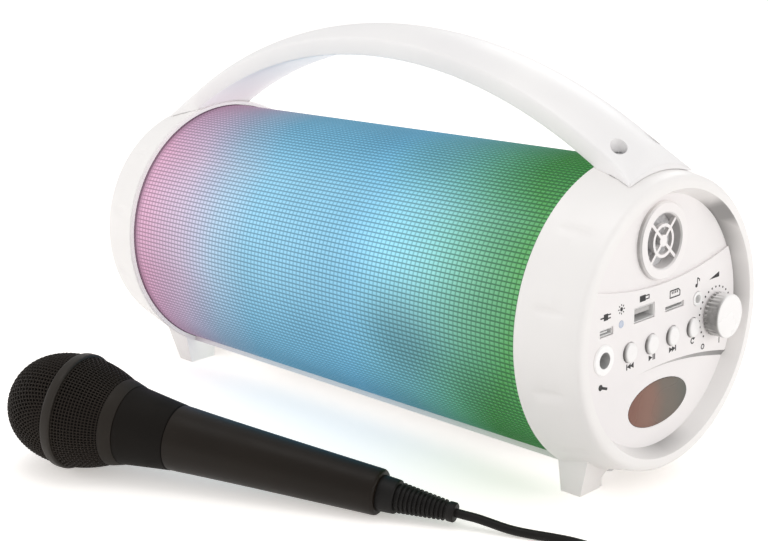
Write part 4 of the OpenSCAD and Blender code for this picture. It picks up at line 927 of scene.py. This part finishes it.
def make_front_net():
    turned = Matrix.Rotation(math.radians(NET_TURN), 3, "X")
    spots = {}
    for (i, j), d in pressed_net(NET_PITCH / NET_BALL_R, 40).items():
        for si in (1, -1):
            for sj in (1, -1):
                out = turned @ Vector((d.x, d.y * si, d.z * sj))
                local = out * (head_radius(out) - WIRE_R)
                if local.x < 0.9 - RING_W / 2:
                    spots[i * si, j * sj] = (local, out)
    points, faces = [], []
    reach = max(i for i, _ in spots)
    for rows in (True, False):
        for i in range(-reach, reach + 1):
            run = []
            for j in range(-reach - 1, reach + 2):
                key = (i, j) if rows else (j, i)
                if key in spots:
                    run.append((j, spots[key]))
                    continue
                if len(run) > 1:
                    first = run[0][0] + i + (0 if rows else 1)
                    line, guide = woven_line([s for _, s in run], first, WIRE_R * 0.62)
                    add_tube(points, faces, line, WIRE_R, 5, guide)
                run = []
    add_mesh("mic_front_net", [at_mic(*p) for p in points], faces, MIC_MESH, "microphone", 60,
             "mic_mesh", "mic_front_mesh")


def rear_taper(s, first, radii):
    """The rear basket's radius at s, and that of the foam in it."""
    t = (s - first[0]) / (first[1] - first[0])
    return radii[0] + (radii[1] - radii[0]) * (0.35 * t + 0.65 * t * t)


def make_rear_net():
    start, stop = RING_W / 2 - 0.8, COLLAR_S + 0.6
    rows = int((stop - start) / REAR_PITCH)
    columns = int(FULL_TURN * (MESH_R - 2) / REAR_PITCH)
    columns += columns % 2
    lift = REAR_WIRE_R * 0.55
    stations = [start + (stop - start) * j / rows for j in range(rows + 1)]
    outs = [Vector((0, y, z)) for y, z in circle(0, 0, 1, columns)]

    def spot(s, out):
        radius = rear_taper(max(s, RING_W / 2), (RING_W / 2, COLLAR_S), (MESH_R, COLLAR_R))
        return Vector((s, 0, 0)) + out * (radius - REAR_WIRE_R), out

    points, faces = [], []
    for i, out in enumerate(outs):
        line, guide = woven_line([spot(s, out) for s in stations], i, lift)
        add_tube(points, faces, line, REAR_WIRE_R, 4, guide)
    for j, s in enumerate(stations[1:-1], 1):
        line, guide = woven_line([spot(s, out) for out in outs + outs[:1]], j + 1, lift)
        add_tube(points, faces, line[:-1], REAR_WIRE_R, 4, guide[:-1], closed=True)
    add_mesh("mic_rear_net", [at_mic(*p) for p in points], faces, MIC_MESH, "microphone", 60,
             "mic_mesh", "mic_rear_mesh")


def turned_piece(name, profile, turns, material, slot, node):
    """A closed ring of revolution on the microphone's axis, from (along, radius) points."""
    add_mesh(name, lathe(profile, turns, at_mic), ring_faces(len(profile), turns, close_rings=True), material,
             "microphone", 30, slot, node)


def make_mic_body():
    edge, inner, outer = RING_W / 2, MESH_R - 2.4, RING_R
    band = [(-edge, inner), *arc((1.1 - edge, outer - 1.1), 1.1, 180, 90, 5),
            *arc((edge - 1.1, outer - 1.1), 1.1, 90, 0, 5), (edge, inner)]
    turned_piece("mic_band", band, 128, MIC_RING, "mic_black", "mic_ring")
    collar = [(COLLAR_S, SEAM_R), (COLLAR_S, COLLAR_R - 0.1)]
    collar += arc((COLLAR_S + 0.5, COLLAR_R - 0.2), 0.5, 180, 80, 4)
    collar += [(COLLAR_S + 1.4, COLLAR_R + 0.1), (COLLAR_S + 5.5, COLLAR_R - 1.1),
               (COLLAR_S + 5.9, COLLAR_R - 1.4), (COLLAR_S + 6, COLLAR_R - 2), (COLLAR_S + 6, SEAM_R)]
    turned_piece("mic_collar_ring", collar, 128, MIC_COLLAR, "mic_collar", "mic_collar")
    start = COLLAR_S + 5.8
    neck = [(start, 12), (start, COLLAR_R - 1.9), (start + 0.6, COLLAR_R - 1.5)]
    for t in (i / 8 for i in range(1, 9)):
        neck.append((start + 0.6 + (SEAM_S - 0.5 - start - 0.6) * t,
                     COLLAR_R - 1.5 + (SEAM_R + 0.05 - COLLAR_R + 1.5) * t ** 0.95))
    neck += [(SEAM_S - 0.15, SEAM_R - 0.25), (SEAM_S, SEAM_R - 0.6), (SEAM_S, 12)]
    turned_piece("mic_neck", neck, 128, MIC_NECK, "mic_black", "mic_grip")
    grip = [(SEAM_S + 0.05, 10), (SEAM_S + 0.05, SEAM_R - 0.6), (SEAM_S + 0.25, SEAM_R - 0.2)]
    for s in (SEAM_S + (TAIL_S - 1.2 - SEAM_S) * i / 24 for i in range(1, 25)):
        grip.append((s, SEAM_R + (TAIL_R - SEAM_R) * share(s, SEAM_S, TAIL_S) ** 0.85))
    grip += arc((TAIL_S - 1.2, TAIL_R - 1.2), 1.2, 75, 0, 4) + [(TAIL_S, 5)]
    turned_piece("mic_handle", grip, 128, MIC_GRIP, "mic_black", "mic_grip")


CAPSULE_FRONT = 13
CAPSULE_R = 6.2
NET_T = 1.0
FOAM_R = MESH_R - 2.9
FOAM_TURNS = 120


def make_foam():
    """The foam liner: fills both nets up to a thin gap, with the capsule's pocket at its back."""
    tip, wide, ring = HEAD_LEN - NET_T - 0.6, MESH_R - NET_T - 0.4, RING_W / 2 + 0.6
    profile = []
    for i in range(1, 25):
        a = math.radians(90 * i / 24)
        s, far = -math.cos(a), math.sin(a)
        size = bulge(-s, far)
        if tip * s * size < -RING_W / 2 - 1:
            profile.append((tip * s * size, wide * far * size))
    profile += [(-ring, FOAM_R), (0, FOAM_R), (ring, FOAM_R)]
    stop = COLLAR_S - 1
    for s in (ring + (stop - ring) * i / 8 for i in range(1, 9)):
        profile.append((s, rear_taper(s, (ring, stop), (FOAM_R, COLLAR_R - 3))))
    profile += [(stop, CAPSULE_R + 0.3), (COLLAR_S - CAPSULE_FRONT - 0.8, CAPSULE_R + 0.3)]

    def place(s, y, z):
        a, far = math.atan2(z, y), math.hypot(y, z)
        dent = 0.10 * math.sin(7 * a + 1.3 * s) + 0.08 * math.sin(13 * a - 2.1 * s) - 0.16
        size = 1 if far < CAPSULE_R + 1 else (far + dent) / far
        return at_mic(s, y * size, z * size)

    add_mesh("mic_foam_liner", lathe(profile, FOAM_TURNS, place), solid_faces(len(profile), FOAM_TURNS),
             FOAM, "microphone", 50, "foam", "mic_foam")


RELIEF_R = 6.2
RELIEF_TIP_R = CORD_D / 2 + 2.2
RIB_COUNT = 11
RIB_START = TAIL_S + 8.4
RIB_STOP = RELIEF_END - 3.6
RIB_H = 0.9
RIB_FORM = ((0.05, 0), (0.12, 0.65), (0.24, 1), (0.5, 1), (0.62, 0.65), (0.7, 0))


def make_relief():
    """The strain relief: a smooth block, ribs on a tapering core and an end ring."""
    pitch = (RIB_STOP - RIB_START) / RIB_COUNT

    def core(s):
        t = (s - RIB_START) / (RIB_STOP - RIB_START)
        return RELIEF_R - RIB_H + (RELIEF_TIP_R - 0.8 - RELIEF_R + RIB_H) * t

    profile = [(TAIL_S - 0.5, 4), (TAIL_S - 0.5, RELIEF_R + 0.9), (TAIL_S + 0.3, RELIEF_R + 1.1),
               (RIB_START - 1.8, RELIEF_R + 0.7)]
    profile += arc((RIB_START - 1.8, RELIEF_R), 0.7, 70, 0, 3)
    profile.append((RIB_START - 1.0, RELIEF_R - RIB_H))
    for i in range(RIB_COUNT):
        for across, up in RIB_FORM:
            s = RIB_START + (i + across) * pitch
            profile.append((s, core(s) + RIB_H * up))
    profile += [(RIB_STOP + 0.1, core(RIB_STOP)), (RIB_STOP + 0.4, RELIEF_TIP_R - 0.2),
                (RIB_STOP + 0.8, RELIEF_TIP_R), (RELIEF_END - 0.6, RELIEF_TIP_R),
                (RELIEF_END - 0.1, RELIEF_TIP_R - 0.4), (RELIEF_END, CORD_D / 2 + 0.3), (RELIEF_END, 1)]
    turned_piece("mic_relief", profile, 96, RUBBER, "cord_rubber", "mic_strain_relief")


make_front_net()
make_rear_net()
make_foam()
make_mic_body()
make_relief()


# ---- volume knob and the band's lower edge
KNOB_Y, KNOB_Z = 38.0, -5.0
KNOB_RIDGES = 30
RIDGE_STEPS = 8
HUB_R = 5.2
BAND_X = -5.8
PANEL_X = -7.0
BAND_LOW_Z, BAND_HALF_W, BAND_R = -17.7, 46.5, 195
BAND_STEPS = 60


def make_knob():
    """A dial with pointed ridges round its side, a smooth collar and a slightly domed face."""
    lo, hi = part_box("volume_knob")
    radius = (hi.y - lo.y) / 2 / MM
    back, front = (lo.x - FACE.x) / MM, (hi.x - FACE.x) / MM
    turns = KNOB_RIDGES * RIDGE_STEPS
    profile = [(front - 3.2, radius - HUB_R, 0), (back, radius - HUB_R, 0),
               (back, 1.2, 0.75), (back, 0, 0.75), (back + 1.3, 0, 0.75), (back + 1.5, 0.15, 0.16),
               (front - 2.0, 0.1, 0.12), (front - 1.5, 0.05, 0), (front - 0.8, 0, 0), (front - 0.5, 0.05, 0),
               (front - 0.2, 0.3, 0), (front - 0.05, 0.7, 0), (front - 0.02, 1.4, 0),
               (front - 0.01, radius - 5.5, 0), (front, radius - 2.5, 0), (front, radius - 0.6, 0)]
    points = []
    for x, inset, groove in profile:
        for k in range(turns):
            a = FULL_TURN * k / turns
            r = radius - inset - groove * abs(math.cos(math.pi * k / RIDGE_STEPS)) ** 3
            points.append(at_face(x, KNOB_Y + r * math.cos(a), KNOB_Z + r * math.sin(a)))
    add_mesh("volume_dial", points, solid_faces(len(profile), turns), KNOB_SKIN, "volume_knob", 28,
             "white_knob", "volume_knob")


def make_band_edge():
    """A sloped strip along the raised band's lower edge, a hair at its left end and wider to the right, put there
    to carry the painted shadow under the band's step.
    """
    points = []
    for i in range(BAND_STEPS + 1):
        y = -BAND_HALF_W + 2 * BAND_HALF_W * i / BAND_STEPS
        z = BAND_LOW_Z - BAND_R + math.sqrt(BAND_R ** 2 - y ** 2)
        wide = 0.8 + 1.6 * share(y, -18, 37) ** 1.3
        for x, drop in ((BAND_X - 0.03, -0.25), (BAND_X - 0.03, 0.02), (PANEL_X + 0.5, wide * 0.45),
                        (PANEL_X + 0.02, wide), (PANEL_X - 0.1, wide), (PANEL_X - 0.1, -0.25)):
            points.append(at_face(x, y, z - drop))
    add_mesh("band_lower_edge", points, solid_faces(BAND_STEPS + 1, 6), BAND_EDGE_PAINTED_SHADE, "speaker", 40,
             "white_panel")


make_knob()
make_band_edge()


# ---- marks on the panel
MARK_T = 0.06
BUTTON_YS = [-21.4 + 14.35 * i for i in range(4)]
SIGN_Z, SIGN_SIDE = -13.2, 0.4
SIGNS = [  # transport signs under the first buttons: 0 is a bar and 1 or -1 an arrow head, then its place
    [(0, -2.1), (-1, -0.7), (-1, 1.3)], [(1, -0.9), (0, 1.0), (0, 2.0)], [(1, -1.3), (1, 0.7), (0, 2.1)]]
DOT_STEPS, DOT_RING_R, DOT_R = 20, 11.6, 0.46


def box(y, z, w, h):
    return [(y - w / 2, z - h / 2), (y + w / 2, z - h / 2), (y + w / 2, z + h / 2), (y - w / 2, z + h / 2)]


def hoop(y, z, r, width, start=0, stop=360, n=18):
    """Arc strip as separate quads."""
    inner, outer = (arc((y, z), r + off, start, stop, n) for off in (-width / 2, width / 2))
    return [[inner[k], outer[k], outer[k + 1], inner[k + 1]] for k in range(n)]


def stroke(points, width):
    """A bent line as separate quads."""
    out = []
    for (y0, z0), (y1, z1) in zip(points, points[1:]):
        length = math.hypot(y1 - y0, z1 - z0)
        ny, nz = -(z1 - z0) / length * width / 2, (y1 - y0) / length * width / 2
        out.append([(y0 + ny, z0 + nz), (y0 - ny, z0 - nz), (y1 - ny, z1 - nz), (y1 + ny, z1 + nz)])
    return out


def triangle(y, z, size, way):
    """An arrow head; way is 1 to the right and -1 to the left."""
    return [(y - way * size * 0.45, z + size / 2), (y - way * size * 0.45, z - size / 2),
            (y + way * size * 0.55, z)]


def moved(y, z, outlines):
    return [[(y + a, z + b) for a, b in outline] for outline in outlines]


def make_marks():
    """Thin printed shapes on the band; each outline is a list of (y, z) points from the panel's middle."""
    m = []
    for y, sign in zip(BUTTON_YS, SIGNS):
        for kind, at in sign:
            shape = box(at, 0, 0.6, 2.4) if kind == 0 else triangle(at, 0, 2.4, kind)
            m += moved(y + SIGN_SIDE, SIGN_Z, [shape])
    # a turned arrow under the last button
    m += moved(BUTTON_YS[3] + SIGN_SIDE, SIGN_Z, hoop(-0.2, 0, 1.1, 0.55, 40, 320, 12)
               + [triangle(0.9, 0.9, 1.5, 1)])
    # sun for the light, over the indicator
    m += moved(-27.0, 11.6, [circle(0, 0, 0.85, 20)]
               + [stroke(ray, 0.42)[0] for ray in zip(circle(0, 0, 1.35, 8), circle(0, 0, 2.1, 8))])
    # plug with two prongs over the charging socket
    m += moved(-36.2, 10.6, [box(-0.6, 0, 2.6, 2.6), box(1.5, 0.7, 1.8, 0.5), box(1.5, -0.7, 1.8, 0.5),
                             box(-2.9, 0, 2.2, 0.55)])
    # memory stick over the big data socket
    m += moved(-12.0, 12.9, [box(-1.3, 0, 3.8, 2.5), box(2.9, 0, 0.5, 1.8), box(1.8, 0.7, 2.2, 0.45),
                             box(1.8, -0.7, 2.2, 0.45)])
    # card outline over the slot
    m += moved(8.6, 10.2, stroke([(-3.4, -1.4), (3.4, -1.4), (3.4, 0.5), (2.3, 1.5), (-3.4, 1.5),
                                  (-3.4, -1.6)], 0.5) + [box(-2.0 + 1.2 * k, 0.55, 0.55, 1) for k in range(4)])
    # note over the line socket
    m += moved(24.6, 11.3, [circle(-0.9, -1.2, 0.8, 20), box(-0.2, 0.5, 0.45, 3.2)]
               + stroke([(-0.2, 2.0), (1.2, 1.2), (1.2, 0.3)], 0.5))
    # microphone under the round socket
    m += moved(JACK_Y, -17.4, [circle(-1.6, 0.2, 1.25, 20)] + stroke([(-0.8, -0.1), (2.6, -1.3)], 1.1))
    # loudness: dots round the knob, a ring and a bar below, a growing wedge above
    m += moved(KNOB_Y, KNOB_Z, [circle(*dot, DOT_R, 10) for dot in arc((0, 0), DOT_RING_R, 225, -45, DOT_STEPS)]
               + hoop(-8.6, -12.6, 1.0, 0.5) + [box(3.6, -12.6, 0.55, 2.4)])
    m += moved(36.6, 11.5, [[(-3.6, -0.9), (3.6, -0.9), (3.6, 1.3)]])
    points, faces = [], []
    for outline in m:
        faces += solid_faces(2, len(outline), len(points))
        points += [at_face(x, y, z) for x in (BAND_X - 0.02, BAND_X + MARK_T) for y, z in outline]
    add_mesh("panel_marks", points, faces, MARK, "speaker", 0, "black_part")


make_marks()


# ---- small finish of carried-over nodes
BEVELS = {"tweeter_grille": 0.2, "mic_jack": 0.2, "usb_socket": 0.06, "card_socket": 0.06,
          "charge_socket": 0.06}


def smooth_modifier():
    """Shades a carried-over node round, with its sharper edges left sharp, without touching its mesh."""
    tree = bpy.data.node_groups.new("shade_by_angle", "GeometryNodeTree")
    for way in ("INPUT", "OUTPUT"):
        tree.interface.new_socket("Geometry", in_out=way, socket_type="NodeSocketGeometry")
    new, join = tree.nodes.new, tree.links.new
    merge = new("GeometryNodeMergeByDistance")
    merge.inputs["Distance"].default_value = 0.000001
    flat = put(new("FunctionNodeCompare"), data_type="FLOAT", operation="LESS_EQUAL")
    flat.inputs[1].default_value = math.radians(SHARP_ANGLE)
    join(new("GeometryNodeInputMeshEdgeAngle").outputs["Unsigned Angle"], flat.inputs[0])
    faces, edges = (put(new("GeometryNodeSetShadeSmooth"), domain=domain) for domain in ("FACE", "EDGE"))
    join(flat.outputs[0], edges.inputs["Shade Smooth"])
    chain = [new("NodeGroupInput"), merge, faces, edges, new("NodeGroupOutput")]
    for one, following in zip(chain, chain[1:]):
        join(one.outputs[0], following.inputs[0])
    return tree


def finish_nodes():
    for name, width in BEVELS.items():
        put(NODES[name].modifiers.new("edge_rounding", "BEVEL"), width=width * MM, segments=2,
            limit_method="ANGLE", angle_limit=math.radians(35), harden_normals=True, use_clamp_overlap=True)
    tree = smooth_modifier()
    for node in NODES.values():
        put(node.modifiers.new("round_shading", "NODES"), node_group=tree)
        node.modifiers.move(len(node.modifiers) - 1, 0)


finish_nodes()


# ---- floor, background and light
FLOOR_REACH, FLOOR_STEPS = 6.0, 12
FLOOR_LIGHT, FLOOR_LIGHT_COLOUR = 0.43, (1, 0.955, 0.91, 1)
SOFT_LIGHT, WHITE_BACK = 0.75, 1.0
LAMPS = {  # place, aim, size, power
    "front": ((-1.1, -1.05, 0.55), (0, 0, 0.06), 0.9, 4.4),
    "top": ((-0.05, -0.25, 1.7), (0, 0, 0.05), 0.8, 3.6),
    "right": ((1.9, -0.35, 0.45), (0.1, 0, 0.06), 0.8, 3.4),
    "side": ((1.4, 0.6, 0.32), (0.1, 0.05, 0.08), 0.5, 2.1),
    "back": ((-0.6, 1.4, 1.0), (0, 0, 0.06), 0.9, 3),
}


def seen_by(n, *rays):
    """1 for any of the kinds of ray, and 0 for the others."""
    path = n.add("ShaderNodeLightPath")
    seen = Wire(n, path.outputs[rays[0]])
    for ray in rays[1:]:
        seen = seen.math("MAXIMUM", Wire(n, path.outputs[ray]))
    return seen


def floor_material():
    """Pale paper that shows white to the camera where light falls on it and takes a soft, warm shadow."""
    n = Nodes("floor_paper")
    shader = n.get("ShaderNodeBsdfDiffuse", 0, {"Color": srgb(250, 248, 246)})
    seen = seen_by(n, "Is Camera Ray", "Is Glossy Ray", "Is Transmission Ray")
    light = n.get("ShaderNodeEmission", 0, {"Color": FLOOR_LIGHT_COLOUR, "Strength": seen * FLOOR_LIGHT})
    n.finish(n.get("ShaderNodeAddShader", 0, {0: shader, 1: light}))
    return n.owner


def make_floor():
    mesh = bpy.data.meshes.new("floor")
    wide = FLOOR_STEPS + 1
    places = [-FLOOR_REACH + 2 * FLOOR_REACH * i / FLOOR_STEPS for i in range(wide)]
    faces = [(j * wide + i, j * wide + i + 1, (j + 1) * wide + i + 1, (j + 1) * wide + i)
             for j in range(FLOOR_STEPS) for i in range(FLOOR_STEPS)]
    mesh.from_pydata([(x, y, 0) for y in places for x in places], [], faces)
    mesh.materials.append(floor_material())
    link("floor", mesh)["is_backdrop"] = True


def make_world():
    world = bpy.data.worlds.new("studio")
    bpy.context.scene.world = world
    n = Nodes(world, "ShaderNodeOutputWorld")
    soft, white = (n.get("ShaderNodeBackground", 0, {"Color": (1, 1, 1, 1), "Strength": strength})
                   for strength in (SOFT_LIGHT, WHITE_BACK))
    seen = seen_by(n, "Is Camera Ray", "Is Transmission Ray")
    n.finish(n.get("ShaderNodeMixShader", 0, {0: seen, 1: soft, 2: white}))


def make_lamp(name, place, aim, size, power):
    holder = link(name, put(bpy.data.lights.new(name, "AREA"), shape="DISK", size=size, energy=power))
    holder.location = place
    holder.rotation_euler = (Vector(aim) - Vector(place)).to_track_quat("-Z", "Y").to_euler()


make_floor()
make_world()
for name, values in LAMPS.items():
    make_lamp(name, *values)
bpy.context.scene.view_settings.view_transform = "Standard"

boxes = {"cad": cad_box, "visual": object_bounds()}
{name: [list(corner) for corner in pair] for name, pair in boxes.items()}
